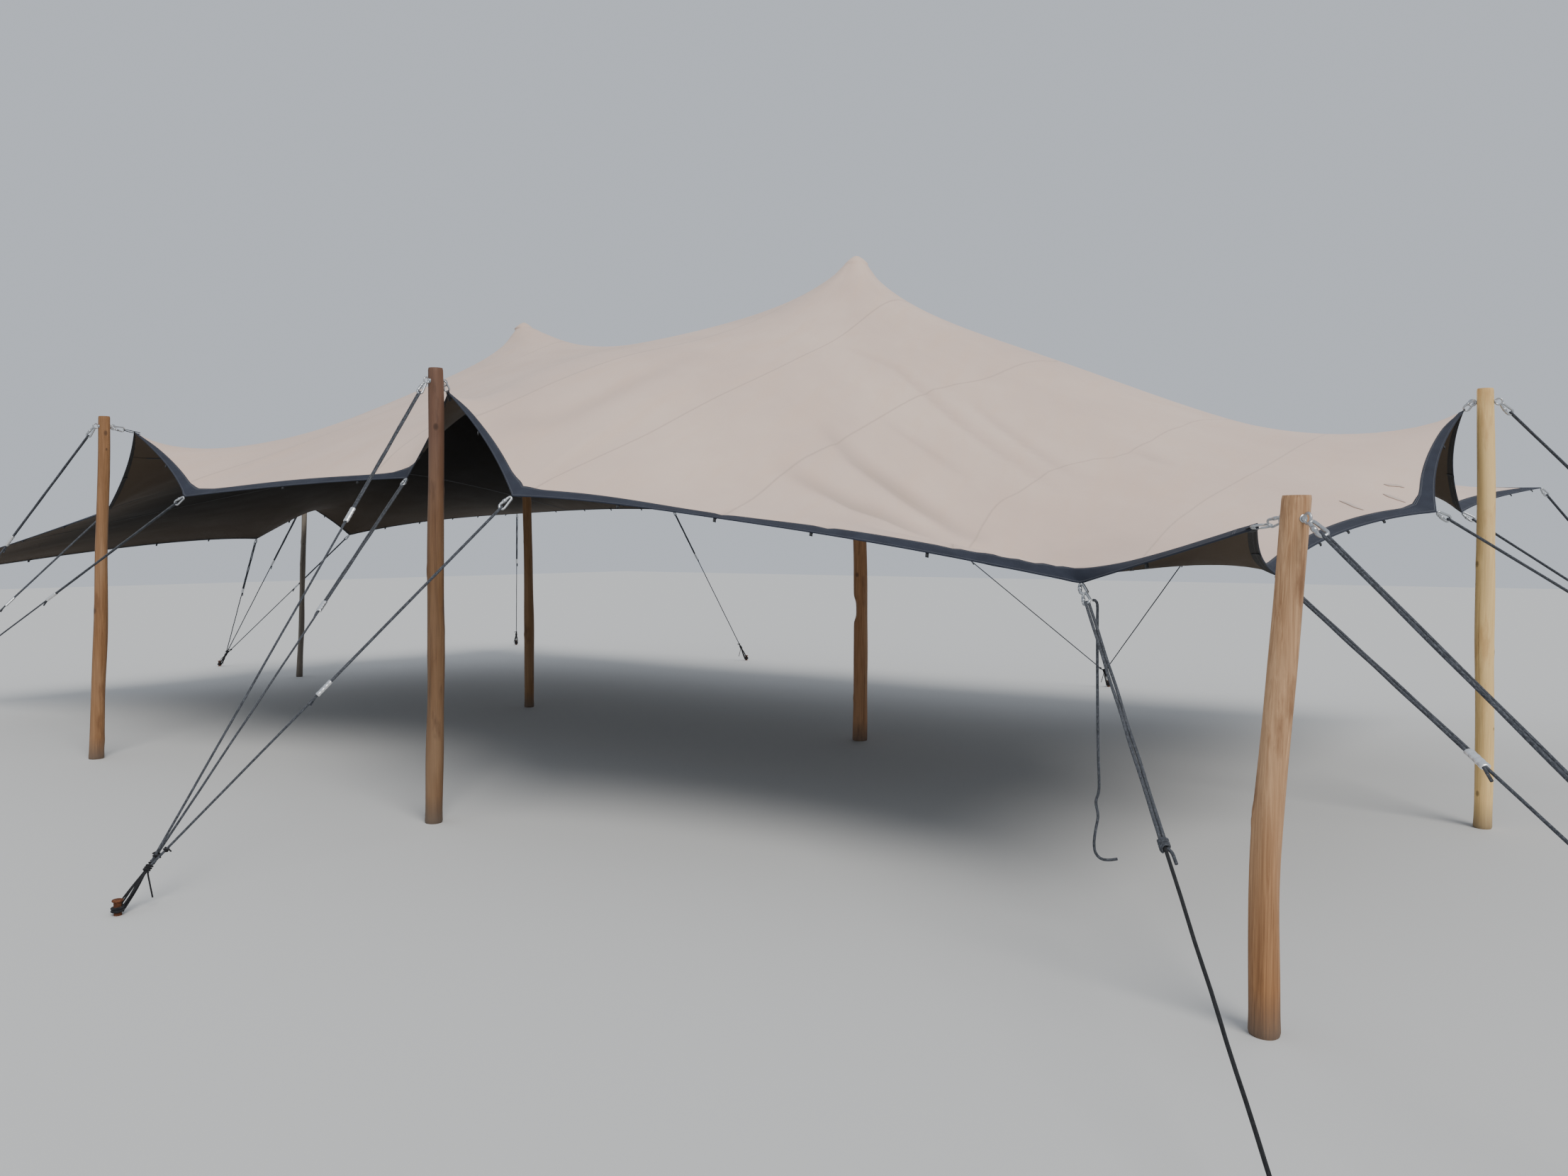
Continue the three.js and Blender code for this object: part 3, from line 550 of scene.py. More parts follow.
SAND = ((0.79, 0.612, 0.510), (0.69, 0.525, 0.436), (0.74, 0.54, 0.42))
# paler sand of the pinched folds: painted highlight on their crests
PAINTED_HIGHLIGHT_SAND = ((0.80, 0.66, 0.57), (0.72, 0.58, 0.50), (0.76, 0.60, 0.50))
NEAR_BLACK = ((0.0150, 0.0125, 0.0105), (0.0100, 0.0085, 0.0072), (0.020, 0.016, 0.012))
CHARCOAL = ((0.084, 0.091, 0.108), (0.040, 0.044, 0.052), (0.25, 0.268, 0.30))
top_look = cloth_look("cloth_top", *SAND, 0.12, 0.35)
# its last colour is the painted light near the underside's edges
under_look = cloth_look("cloth_under", *NEAR_BLACK, 0.0, 0.03, (0.085, 0.064, 0.047))
pinch_highlight_look = cloth_look("cloth_pinch_painted_highlight", *PAINTED_HIGHLIGHT_SAND, 0.12, 0.35, None, 0.0)
band_look = webbing_look("band", (0.034, 0.040, 0.060), (0.022, 0.026, 0.040),
                         (0.006, BAND - 0.007, BAND - 0.014))
# the half of the webbing below the rim: the same webbing in a darker, browner colour, painted shade under the
# canopy
band_under_painted_shade = webbing_look("band_under_painted_shade", (0.024, 0.021, 0.019), (0.016, 0.014, 0.013),
                          (0.006, BAND * 0.5 - 0.006))
strap_look = webbing_look("strap", (0.030, 0.031, 0.034), (0.016, 0.017, 0.019), (0.0035, 0.0215))
tape_look = webbing_look("seam_tape", (0.014, 0.012, 0.011), (0.009, 0.008, 0.0075), (0.003, 0.021))
steel = steel_look("galvanised", (0.44, 0.46, 0.48))
bright = steel_look("bright_sleeve", (0.80, 0.81, 0.82), 0.5)
rust = rust_look("rusty_steel")
rope_grey = rope_look("rope_charcoal", *CHARCOAL)
rope_black = rope_look("rope_black", (0.020, 0.021, 0.024), (0.010, 0.010, 0.012), (0.05, 0.05, 0.055))
cap_rubber = cap_look("cap_rubber")


# The pitch: where everything is held

CAP_RADIUS, CAP_FALL, CAP_ROUNDNESS = 0.085, 0.070, 1.7

# Ties: the place along the flat edge, then the point in space
FRONT = dict(corner_front_left=(0, (-7.76, -4.05, 1.25)), low_0=(2.3, (-5.27, -3.36, 1.85)),
             pole_front_left=(3.15, (-4.07, -3.70, 2.42)), low_1=(4.0, (-3.23, -3.77, 1.92)),
             low_2=(5.35, (-1.50, -3.21, 2.02)), pole_front_middle=(6.15, (-0.48, -3.69, 2.45)),
             low_3=(7.0, (0.49, -4.08, 1.83)), low_4=(9.5, (3.16, -3.37, 1.43)),
             pole_front_corner=(10.6, (3.99, -3.91, 1.65)))
RIGHT = dict(low_5=(0.95, (3.87, -3.11, 1.47)), low_6=(2.45, (4.247, -1.518, 1.75)),
             pole_right=(3.4, (4.254, -0.501, 2.33)), low_7=(4.35, (4.162, 0.477, 1.79)),
             corner_back_right=(6.6, (4.46, 2.98, 2.03)))
BACK = dict(corner_back_left=(0, (-7.61, 3.20, 2.0)), low_8=(2.7, (-4.61, 3.05, 2.0)),
            low_9=(5.3, (-1.31, 3.0, 2.0)), low_10=(7.9, (2.09, 2.95, 2.0)))
LEFT = dict(low_11=(2.7, (-7.81, -0.55, 1.64)), pole_left=(3.35, (-7.53, -0.01, 2.0)),
            low_12=(4.0, (-7.86, 0.70, 1.69)))
SIDES = dict(front=FRONT, right=RIGHT, back=BACK, left=LEFT)
TOTALS = dict(front=LENGTH, right=DEPTH, back=LENGTH, left=DEPTH)
TIES = {name: np.array(tie[1]) for ties in SIDES.values() for name, tie in ties.items()}
PEAKS = dict(centre_main=(7.05, (-0.03, -0.021, 3.88)), centre_second=(3.45, (-3.655, -0.231, 3.71)))

# Poles: foot, height, lean of the top, bows in one, two and three half waves, radii at foot, middle and top,
# and timber
POLES = dict(
    front_left=((-4.18, -3.97), 2.52, (0.110, 0.060), (0.006, 0, 0.002), (0.050, 0.044, 0.037), 'pale'),
    front_middle=((-0.51, -3.80), 2.58, (0.033, 0.022), (0.008, 0, 0.003), (0.050, 0.046, 0.042), 'brown'),
    front_corner=((4.08, -4.10), 1.75, (0.062, 0.044), (-0.027, -0.006, 0), (0.048, 0.047, 0.045), 'honey'),
    right=((4.39, -0.47), 2.45, (-0.033, -0.022), (0.009, 0, 0.004), (0.047, 0.050, 0.041), 'yellow'),
    left=((-7.82, -0.03), 2.12, (0.076, 0.054), (0.005, 0, 0.002), (0.034, 0.031, 0.028), 'grey'),
    centre_main=((0.0, 0.0), 3.817, (-0.030, -0.021), (0.014, 0, 0.006), (0.058, 0.054, 0.048), 'orange'),
    centre_second=((-3.64, -0.22), 3.647, (-0.015, -0.011), (0.010, 0, 0.004), (0.047, 0.043, 0.040), 'dark'))
SIDE_POLES = [name for name in POLES if not name.startswith("centre")]

# Anchors: the stake's place, then the ties or poles whose ropes it holds and how far down each sleeve sits
ANCHORS = dict(
    front_left=((-5.51, -5.13), dict(pole_front_left=0.35, low_0=0.41, low_1=0.39)),
    front_middle=((-0.235, -5.665), dict(pole_front_middle=0.31, low_2=0.41, low_3=0.53)),
    front_right=((4.54, -5.61), dict(low_4=0.0)),
    front_corner=((6.05, -5.67), dict(pole_front_corner=0.62, low_5=0.37)),
    right=((6.52, 0.90), dict(pole_right=0.4, low_6=0.4, low_7=0.45)),
    back_right=((5.90, 4.25), dict(corner_back_right=0.35)),
    back_middle=((0.39, 4.60), dict(low_9=0.3, low_10=0.3)),
    back_left=((-4.65, 4.60), dict(low_8=0.3)),
    left_back=((-9.05, 4.45), dict(corner_back_left=0.35)),
    left=((-9.75, 0.06), dict(pole_left=0.35, low_11=0.4, low_12=0.4)),
    left_front=((-8.95, -5.15), dict(corner_front_left=0.3)))

# How the cloth shares its pull, and its small lifts: place along and across, reach, push on each square metre
RIM_PULL = dict(front=9.85, right=2.96, back=9.0, left=5.0)
LOBE_PULL = 3.74
CORNER_PULL = 20.0
LONG_STRETCH_PULL = 4.68
PEAK_SOFTNESS = 0.097
LIFTS = [(3.2, 0.7, 0.7, -0.20), (3.3, 1.9, 0.9, 0.18), (4.5, 3.4, 0.7, -0.03), (5.6, 3.4, 0.7, -0.03),
         (6.2, 0.8, 0.6, 0.72), (7.9, 0.5, 0.8, 0.287), (7.85, 0, 0.45, -1.33), (9.0, 0, 0.6, 1.03),
         (8.1, 3.4, 0.8, 0.11), (9.0, 0.786, 0.8, -1.04), (9.0, 3.4, 0.7, 0.33), (9.9, 3.4, 0.6, -0.25),
         (7.05, 3.4, 0.3, 7.4), (3.45, 3.4, 0.3, 10.0)]

# Seams between the widths of cloth: places along and across, from the front rim to the line of the peaks
SEAMS = [
    ((0.95, 0), (0.97, 3.4)),
    ((1.95, 0), (1.98, 3.4)),
    ((2.90, 0), (2.93, 1.1), (3.04, 3.4)),
    ((3.87, 0), (3.91, 0.3), (3.93, 0.7), (3.97, 1.2), (4.08, 1.75), (4.13, 2.3), (4.16, 3.4)),
    ((5.12, 0), (5.16, 1.5), (5.22, 3.4)),
    ((6.41, 0), (6.41, 0.4), (6.44, 0.8), (6.52, 1.7), (6.60, 3.4)),
    ((7.05, 0), (7.13, 0.14), (7.19, 0.29), (7.25, 0.5), (7.33, 0.97), (7.47, 1.67),
     (7.64, 2.25), (7.82, 3.4)),
    ((8.00, 0), (8.01, 0.27), (8.03, 0.7), (8.12, 1.06), (8.27, 1.52), (8.45, 1.95), (8.62, 2.23),
     (8.84, 2.6), (9.00, 3.4)),
    ((9.05, 0), (9.07, 0.8), (9.13, 1.36), (9.25, 1.58), (9.38, 1.84), (9.54, 2.03),
     (9.69, 2.28), (9.86, 3.4)),
    ((9.95, 0), (9.99, 1.2), (10.12, 2.2), (10.25, 3.4))]


def pole_point(name, f):
    """The middle of a pole at a share f of its height."""
    foot, height, lean, bows, _, _ = POLES[name]
    f = np.asarray(f, float)
    sway = sum(bow * np.sin((k + 1) * np.pi * f) for k, bow in enumerate(bows))
    return np.stack([foot[0] + lean[0] * f + 0.8 * sway, foot[1] + lean[1] * f + 0.6 * sway, height * f], -1)


BOLT_DROP, EYE, WIRE = 0.075, 0.017, 0.006


def bolt(name):
    """The eye bolt of a side pole: its middle, the level way to the cloth, and its two eyes."""
    height, radii = POLES[name][1], POLES[name][4]
    middle = pole_point(name, 1 - BOLT_DROP / height)
    inward = level(TIES["pole_" + name] - middle)
    reach = radii[2] + EYE + WIRE
    return middle, inward, middle + inward * reach, middle - inward * reach


# The cloth's form: a net in balance

def lines(total, stops, size):
    """Grid lines through all the stops, about size(place) apart."""
    marks = sorted({0.0, total, *(round(s, 6) for s in stops if 0 < s < total)})
    out = [0.0]
    for a, b in zip(marks[:-1], marks[1:]):
        parts = max(1, int(round((b - a) / size((a + b) / 2))))
        out += [a + (b - a) * (k + 1) / parts for k in range(parts)]
    return np.array(out)


def around(middle, rings):
    return [middle] + [middle + s * r for r in rings for s in (-1, 1)]


def nearest(values, value):
    return int(np.argmin(np.abs(values - value)))


# Grid lines round each peak, the net's cell, and how near to those lines a tie needs none of its own
RINGS = (0.022, 0.045, 0.065, CAP_RADIUS, 0.12, 0.17, 0.25, 0.34)
NET_CELL, NEAR = 0.066, 0.02
BALANCE, MOST_ROUNDS = 1e-16, 4000
PEAK_RINGS = sum([around(p[0], RINGS) for p in PEAKS.values()], [])
MIDDLE_RINGS = around(ACROSS, RINGS)
TIE_U = [t[0] for side in (FRONT, BACK) for t in side.values()]
TIE_V = [t[0] for side in (RIGHT, LEFT) for t in side.values()]


def rim_place(side, place, inwards=0.0):
    """The flat place that is a way inwards from a rim."""
    return dict(front=(place, inwards), back=(place, DEPTH - inwards),
                right=(LENGTH - inwards, place), left=(inwards, place))[side]


def net():
    """The tensioned cloth: every node in balance between its threads, held at the ties and on the caps."""
    us, vs = [lines(total, base + [p for p in ties if all(abs(p - b) > NEAR for b in base)],
                    lambda place: NET_CELL)
              for total, base, ties in ((LENGTH, PEAK_RINGS, TIE_U), (DEPTH, MIDDLE_RINGS, TIE_V))]
    nu, nv = len(us), len(vs)
    x = np.zeros((nu, nv, 3))
    free = np.ones((nu, nv, 1))

    def hold(i, j, point):
        x[i, j] = point
        free[i, j] = 0

    for side, ties in SIDES.items():
        for s, point in ties.values():
            u, v = rim_place(side, s)
            hold(nearest(us, u), nearest(vs, v), point)
    for s, top in PEAKS.values():
        for i in np.flatnonzero(np.abs(us - s) < CAP_RADIUS * 1.01):
            for j in np.flatnonzero(np.abs(vs - ACROSS) < CAP_RADIUS * 1.01):
                r = max(abs(us[i] - s), abs(vs[j] - ACROSS))
                a = math.atan2(vs[j] - ACROSS, us[i] - s)
                hold(i, j, (top[0] + r * math.cos(a), top[1] + r * math.sin(a),
                            top[2] - CAP_FALL * (r / CAP_RADIUS) ** CAP_ROUNDNESS))

    def pull(u, v):
        return sum(1 / (np.hypot(u - p[0], v - ACROSS) + PEAK_SOFTNESS) for p in PEAKS.values())

    def rim(side, ties, places):
        """Extra pull along a rim, lower where it rises to a side pole."""
        stops = sorted((t[0], name) for name, t in ties.items())
        if side == "right":
            stops = [(0.0, "corner")] + stops
        out = np.full(len(places), RIM_PULL[side])
        for (a, first), (b, second) in zip(stops[:-1], stops[1:]):
            both, here = first + second, (places > a) & (places < b)
            if side == "right" and "corner" in second:
                out[here] = CORNER_PULL
            elif first == "low_3":
                out[here] = LONG_STRETCH_PULL
            elif "pole" in both and "corner" not in both:
                out[here] = LOBE_PULL
        return out

    share = lambda g: np.r_[g[1] - g[0], g[2:] - g[:-2], g[-1] - g[-2]] / 2
    su, sv, du, dv = share(us), share(vs), np.diff(us), np.diff(vs)
    mu, mv = (us[1:] + us[:-1]) / 2, (vs[1:] + vs[:-1]) / 2
    along = pull(mu[:, None], vs[None]) * sv[None] / du[:, None]
    across = pull(us[:, None], mv[None]) * su[:, None] / dv[None]
    along[:, 0] += pull(mu, 0) * rim("front", FRONT, mu) / du
    along[:, -1] += pull(mu, DEPTH) * rim("back", BACK, mu) / du
    across[0] += pull(0, mv) * rim("left", LEFT, mv) / dv
    across[-1] += pull(LENGTH, mv) * rim("right", RIGHT, mv) / dv
    push = np.zeros((nu, nv, 3))
    for s, t, reach, force in LIFTS:
        push[..., 2] += force * bell((us[:, None] - s) / reach) * bell((vs[None] - t) / reach)
    push[..., 2] *= su[:, None] * sv[None]

    total = np.zeros((nu, nv, 1))
    total[:-1, :, 0] += along
    total[1:, :, 0] += along
    total[:, :-1, 0] += across
    total[:, 1:, 0] += across

    def force(y):
        out = np.zeros_like(y)
        f = along[..., None] * (y[1:] - y[:-1])
        out[:-1] += f
        out[1:] -= f
        f = across[..., None] * (y[:, 1:] - y[:, :-1])
        out[:, :-1] += f
        out[:, 1:] -= f
        return out * free

    # conjugate gradients, until what is out of balance has almost gone
    rest = force(x) + push * free
    step = rest / total
    energy = (rest * step).sum((0, 1))
    goal = energy * BALANCE
    for _ in range(MOST_ROUNDS):
        c = force(step)
        a = energy / np.maximum(-(step * c).sum((0, 1)), 1e-300)
        x = x + a * step
        rest = rest + a * c
        now = (rest * rest / total).sum((0, 1))
        if (now < goal).all():
            break
        step = rest / total + now / energy * step
        energy = now
    return us, vs, x


def resample(old, x, new, axis):
    """Smooth curve through the old grid lines, read at the new ones."""
    x = np.moveaxis(x, axis, 0)
    slope = np.gradient(x, old, axis=0)
    k = np.clip(np.searchsorted(old, new, side='right') - 1, 0, len(old) - 2)
    h = (old[k + 1] - old[k])[:, None, None]
    t = ((new - old[k])[:, None, None]) / h
    out = ((2 * t ** 3 - 3 * t ** 2 + 1) * x[k] + (t ** 3 - 2 * t ** 2 + t) * h * slope[k]
           + (3 * t ** 2 - 2 * t ** 3) * x[k + 1] + (t ** 3 - t ** 2) * h * slope[k + 1])
    return np.moveaxis(out, 0, axis)


def grid_normals(x, us, vs):
    return unit(np.cross(np.gradient(x, us, axis=0), np.gradient(x, vs, axis=1)))


coarse_u, coarse_v, coarse = net()


def cell_along(place):
    """The fine grid's cell: smallest beside the fifth low tie, where the band puckers."""
    if abs(place - 9.25) < 0.3:
        return 0.02
    if abs(place - 8.5) < 1.05:
        return 0.032
    return 0.034 if min(abs(place - t[0]) for t in FRONT.values()) < 0.2 else 0.056


CELL_STOPS, CELLS = (0.25, 2.3, 4.2, DEPTH - 0.2), (0.024, 0.034, 0.052, 0.07, 0.04)
us = lines(LENGTH, TIE_U + PEAK_RINGS, cell_along)
vs = lines(DEPTH, TIE_V + MIDDLE_RINGS + list(CELL_STOPS),
           lambda place: CELLS[sum(place > s for s in CELL_STOPS)])
cloth = resample(coarse_v, resample(coarse_u, coarse, us, 0), vs, 1)
normals = grid_normals(cloth, us, vs)
flat_u, flat_v = np.meshgrid(us, vs, indexing='ij')


# Folds and creases of the cloth

def crease(points, width):
    """A long soft fold along a line on the flat cloth, fading out at both ends."""
    out = np.zeros_like(flat_u)
    p = np.asarray(points, float)
    total = lengths(p)[-1]
    done = 0.0
    for a, b in zip(p[:-1], p[1:]):
        ab = b - a
        size = np.linalg.norm(ab)
        t = np.clip(((flat_u - a[0]) * ab[0] + (flat_v - a[1]) * ab[1]) / size ** 2, 0, 1)
        gap = np.hypot(flat_u - a[0] - t * ab[0], flat_v - a[1] - t * ab[1])
        fade = np.sin(np.pi * np.clip(0.06 + 0.88 * (done + t * size) / total, 0, 1)) ** 0.8
        out = np.maximum(out, fade * bell(gap / width))
        done += size
    return out


# Folds that the pull draws in the cloth: the line, half its width, and how far it rises or dips
FOLDS = [
    (((7.72, 2.06), (8.19, 2.12), (8.49, 2.02), (8.73, 1.93), (9.00, 1.84), (9.18, 1.78), (9.43, 1.67)),
     0.034, -0.0065),
    (((7.78, 2.14), (8.22, 2.20), (8.53, 2.10), (8.78, 2.01), (9.05, 1.92), (9.24, 1.86), (9.46, 1.75)),
     0.050, 0.0050),
    (((8.34, 1.56), (8.60, 1.56), (8.93, 1.52)), 0.034, -0.0045),
    (((8.80, 2.15), (9.18, 1.97), (9.48, 1.82)), 0.036, -0.0045),
    (((8.03, 1.18), (8.29, 1.10), (8.49, 1.11), (8.84, 1.10), (8.99, 1.06), (9.10, 1.07)), 0.062, -0.0170),
    (((8.02, 0.67), (8.24, 0.69), (8.43, 0.71), (8.59, 0.80), (8.73, 0.83), (8.92, 0.89)), 0.072, -0.0190),
    (((9.69, 2.25), (9.85, 2.19)), 0.036, -0.0050),
    (((6.48, 0.05), (6.74, 0.27), (6.80, 0.52), (6.83, 1.10)), 0.070, -0.0050),
    (((9.05, 0.03), (9.05, 0.12)), 0.030, -0.0060),
    (((8.50, 0.03), (8.50, 0.13)), 0.028, -0.0050),
    (((8.00, 0.03), (8.00, 0.14)), 0.028, -0.0050)]


def gathers(u, v, reach, height, folds, turn, spread=math.pi):
    """Folds that run out from a tie, wider and shallower the further they go."""
    out = np.zeros_like(flat_u)
    distance = np.hypot(flat_u - u, flat_v - v)
    angle = np.arctan2(flat_v - v, flat_u - u)
    for k in range(folds):
        way = turn + spread * ((k + 0.5) / folds - 0.5) + random.uniform(-0.10, 0.10)
        size = height * random.uniform(0.55, 1.15) * (1 if k % 2 else -0.8)
        width = spread / folds * random.uniform(0.26, 0.38)
        off = np.angle(np.exp(1j * (angle - way)))
        far = reach * random.uniform(0.75, 1.3)
        out += size * bell(off / width) * (distance / far) * np.exp(1 - 2.2 * distance / far)
    return out


# How far the folds stand out, and the dip at which a fold's painted shade is full
FOLD_SIZE, DEEP = 1.8, 0.017
creases = [crease(points, half) for points, half, _ in FOLDS]
lift = FOLD_SIZE * sum(here * rise for here, (_, _, rise) in zip(creases, FOLDS))
# painted shade: each valley darkens the colour by its depth, and ridges take a little of it back
shade = [np.clip(-rise / DEEP, 0.42, 1) if rise < 0 else -0.3 for _, _, rise in FOLDS]
painted_fold_shade = np.clip(sum(here * dark for here, dark in zip(creases, shade)), 0, 1)
# Folds that run out from each side's ties: their reach, height, number and way
GATHERS = dict(front=(0.9, 0.011, 7, math.pi / 2), back=(0.8, 0.009, 6, -math.pi / 2),
               right=(0.7, 0.008, 6, math.pi), left=(0.7, 0.008, 6, 0.0))
for side, (reach, height, folds, turn) in GATHERS.items():
    for name, (s, _) in SIDES[side].items():
        high = side == "front" and name.startswith("pole")
        size = (0.55, 0.007) if high else (reach, height)
        lift += gathers(*rim_place(side, s), *size, folds, turn)
for s, _ in PEAKS.values():
    lift += gathers(s, ACROSS, 1.2, 0.006, 16, 0.0, TURN)
edge = np.minimum(np.minimum(flat_u, LENGTH - flat_u), np.minimum(flat_v, DEPTH - flat_v))
lift *= 1 - bell(edge / 0.03)
for p in PEAKS.values():
    lift *= 1 - bell(np.hypot(flat_u - p[0], flat_v - ACROSS) / 0.14)
# small puckers of the band's seam beside the fifth low tie
for s in (9.06, 9.20, 9.31, 9.41):
    lift += 0.009 * bell((flat_u - s) / 0.036) * bell((flat_v - 0.095) / 0.055)
cloth = cloth + normals * lift[..., None]
# the cloth leaves each cap in an easy curve
for _, top in PEAKS.values():
    out = (cloth - np.array(top)) * (1, 1, 0)
    reach = np.linalg.norm(out, axis=-1, keepdims=True)
    cloth = cloth + (unit(out) * 0.55 + up * 0.83) * 0.011 * bell((reach - 0.108) / 0.045) * (reach < 0.4)
# the stiff sewn rim turns down towards its ropes, apart from where it rises to a pole
rim_turn = np.interp(us, (7.0, 9.0), (0.012, 0.038))[:, None]
poles_u = [t[0] for name, t in FRONT.items() if name.startswith("pole") and t[0] < 10]
level_rim = np.prod([1 - bell(np.maximum(np.abs(flat_u - s) - 0.55, 0) / 0.25) for s in poles_u], axis=0)
cloth[..., 2] += rim_turn * level_rim * np.tanh(flat_v / 0.075) * bell(np.maximum(flat_v - 0.10, 0) / 0.30)
normals = grid_normals(cloth, us, vs)


def on_cloth(u, v, height=0.0):
    """A point above the cloth at a flat place."""
    i = int(np.clip(np.searchsorted(us, u, side='right') - 1, 0, len(us) - 2))
    j = int(np.clip(np.searchsorted(vs, v, side='right') - 1, 0, len(vs) - 2))
    a = (u - us[i]) / (us[i + 1] - us[i])
    b = (v - vs[j]) / (vs[j + 1] - vs[j])
    w = np.array([[(1 - a) * (1 - b), (1 - a) * b], [a * (1 - b), a * b]])[..., None]
    point = (cloth[i:i + 2, j:j + 2] * w).sum((0, 1))
    return point + unit((normals[i:i + 2, j:j + 2] * w).sum((0, 1))) * height


# Canopy: one continuous sheet, sand above and dark below

above = cloth + normals * HALF
below = cloth - normals * HALF


def seam_place(seam, v):
    """Where a seam lies along the cloth. The back half mirrors the front."""
    along, across = smooth_path(seam, 0.05).T
    return np.interp(np.where(v > ACROSS, 2 * ACROSS - v, v), across, along)


seam_u = np.stack([seam_place(seam, vs) for seam in SEAMS])
width = np.stack([np.interp(us, np.r_[0, seam_u[:, j], LENGTH], np.arange(len(SEAMS) + 2))
                  for j in range(len(vs))], 1)
shape = Shape()
shape.grid(above, us, vs, look=0, width=width, fold=painted_fold_shade)
# the rim mark sets how much painted light lies on the underside, most at its edges
shape.grid(below, us, vs, look=1, flip=True, width=width, rim=bell(edge / 0.6))
for cut, places, flip in ((np.s_[:, 0], us, False), (np.s_[:, -1], us, True), (np.s_[0], vs, True),
                          (np.s_[-1], vs, False)):
    shape.grid(np.stack([below[cut], above[cut]], 1), places, [0, 2 * HALF], look=1, flip=flip)
canopy = shape.piece("canopy", top_look, under_look)
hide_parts(*[f"canopy_panel_{k}" for k in range(1, 8)])


# Sewn edge band, seam tapes, loops and pinched folds

def rim_lines(side):
    """The cloth's points and normals from a rim inwards, for each place along it, and the places."""
    turn = dict(front=lambda x: x, back=lambda x: x[::-1, ::-1], right=lambda x: np.swapaxes(x[::-1], 0, 1),
                left=lambda x: np.swapaxes(x, 0, 1)[::-1])[side]
    return turn(cloth), turn(normals), dict(front=us, back=us[::-1], right=vs, left=vs[::-1])[side]


HIGH = ("pole_front_left", "pole_front_middle", "pole_right", "pole_left")
BAND_STEPS = (1.0, 0.5, 0.12, 0, -0.0022, -0.003, -0.0022, 0, 0.06, 0.2, 0.4, 0.6, 0.8, 0.95, 1.0, 1.0)
BAND_RISE = (0.0014, 0.0030, 0.0032, 0.0034, 0.0020, 0, -0.0020, -0.0034, -0.0034, -0.0034, -0.0034, -0.0034,
             -0.0034, -0.0033, -0.0028, -0.0010)


def add_band(side, extra):
    """Webbing folded over the rim, with half its width below: narrow under a pole, round at a low tie."""
    points, ways, places = rim_lines(side)
    high = [t[0] for name, t in SIDES[side].items() if name in HIGH]
    low = [t[0] for name, t in SIDES[side].items() if name not in HIGH] + [0, TOTALS[side]]
    width = BAND + 0.045 * np.max([bell((places - s) / 0.07) for s in low], axis=0)
    for s in high:
        width *= (1 - 0.50 * bell((places - s) / 0.80)) * (1 - 0.5 * bell((places - s) / 0.10))
    if side == "front":
        width *= 1 - 0.35 * bell((places - 5.15) / 0.45) - 0.18 * bell((places - 7.9) / 0.7)
    steps, rise = np.array(BAND_STEPS), -np.array(BAND_RISE)
    share = np.where(np.arange(len(steps)) < 3, 0.5, 1.0)
    out = []
    for line, way, wide in zip(points[:, :14], ways[:, :14], width):
        reach = np.where(steps > 0, steps * wide * share, steps)
        spot = read_line(reach, lengths(line), line) + unit(line[1] - line[0]) * np.minimum(reach, 0)[:, None]
        normal = unit(read_line(reach, lengths(line), way))
        out.append(spot + normal * (np.sign(rise) * (np.abs(rise) + extra))[:, None])
    out = np.array(out)
    along, across = lengths(points[:, 0]), np.where(steps > 0, steps * BAND, 0)
    band = Shape()
    band.grid(out[:, 3:], along, across[3:], look=0)
    # the half below the rim takes the darker copy of the webbing: painted shade
    band.grid(out[:, :4], along, across[:4], look=1)
    name = f"edge_band_{side}_sewn"
    obj = band.piece(name, band_look, band_under_painted_shade)
    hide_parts(f"edge_band_{side}")
    return obj


# The bands of the short sides lie just over those of the long ones at the corners
OVERLAP = 0.0007
sewn = [add_band(side, OVERLAP if side in ("right", "left") else 0) for side in SIDES]

# flat tapes that cover the seams on the underside
TAPE, TAPE_EDGE = 0.012, 0.0012
tapes = Shape()
keep = (vs > 0.05) & (vs < DEPTH - 0.05)
for places in seam_u:
    middle, drop, ahead, behind = [
        np.stack([read_line(u + shift, us, values[:, j]) for j, u in enumerate(places)])
        for values, shift in ((cloth, 0), (normals, 0), (cloth, 0.02), (cloth, -0.02))]
    way, drop = unit(ahead - behind), unit(drop) * -(HALF + 0.0012)
    inner = TAPE - TAPE_EDGE
    strip = np.stack([middle + way * d + drop * r for d, r in
                      ((-TAPE, 0.6), (-inner, 1.0), (0, 1.0), (inner, 1.0), (TAPE, 0.6))], 1)
    tapes.grid(strip[keep], vs[keep], [0, TAPE_EDGE, TAPE, 2 * TAPE - TAPE_EDGE, 2 * TAPE], flip=True)
seam_tapes = tapes.piece("seam_tapes", tape_look)
sewn.append(seam_tapes)


def ribbon(shape, path, wide, thick, hint):
    """Flat webbing along a path; hint is the way of its width."""
    path = np.asarray(path, float)
    tangent = unit(np.gradient(path, axis=0))
    across = unit(hint - tangent * (tangent @ hint)[:, None])
    out = np.cross(across, tangent)
    w, t = wide / 2, thick / 2
    half = ((-w, t * 0.5), (-w * 0.94, t), (0, t), (w * 0.94, t), (w, t * 0.5))
    corners = half + tuple((a, -b) for a, b in half[::-1])
    points = path[:, None] + np.stack([across * a + out * b for a, b in corners], 1)
    shape.grid(points, lengths(path), np.array([c[0] + w for c in corners + corners[:1]]), wrap=True)
    shape.cap(points[0])
    shape.cap(points[-1], flip=True)


def rim_frame(side, place):
    """At a place along a rim: the rim's point, the ways along the rim and inwards, and the cloth's normal."""
    after, before = min(place + 0.02, TOTALS[side]), max(place - 0.02, 0)
    here, a, b, inner = [on_cloth(*rim_place(side, *p))
                         for p in ((place,), (after,), (before,), (place, 0.03))]
    along, inwards = unit(a - b), unit(inner - here)
    normal = unit(np.cross(along, inwards))
    return here, along, inwards, -normal if normal[2] < 0 else normal


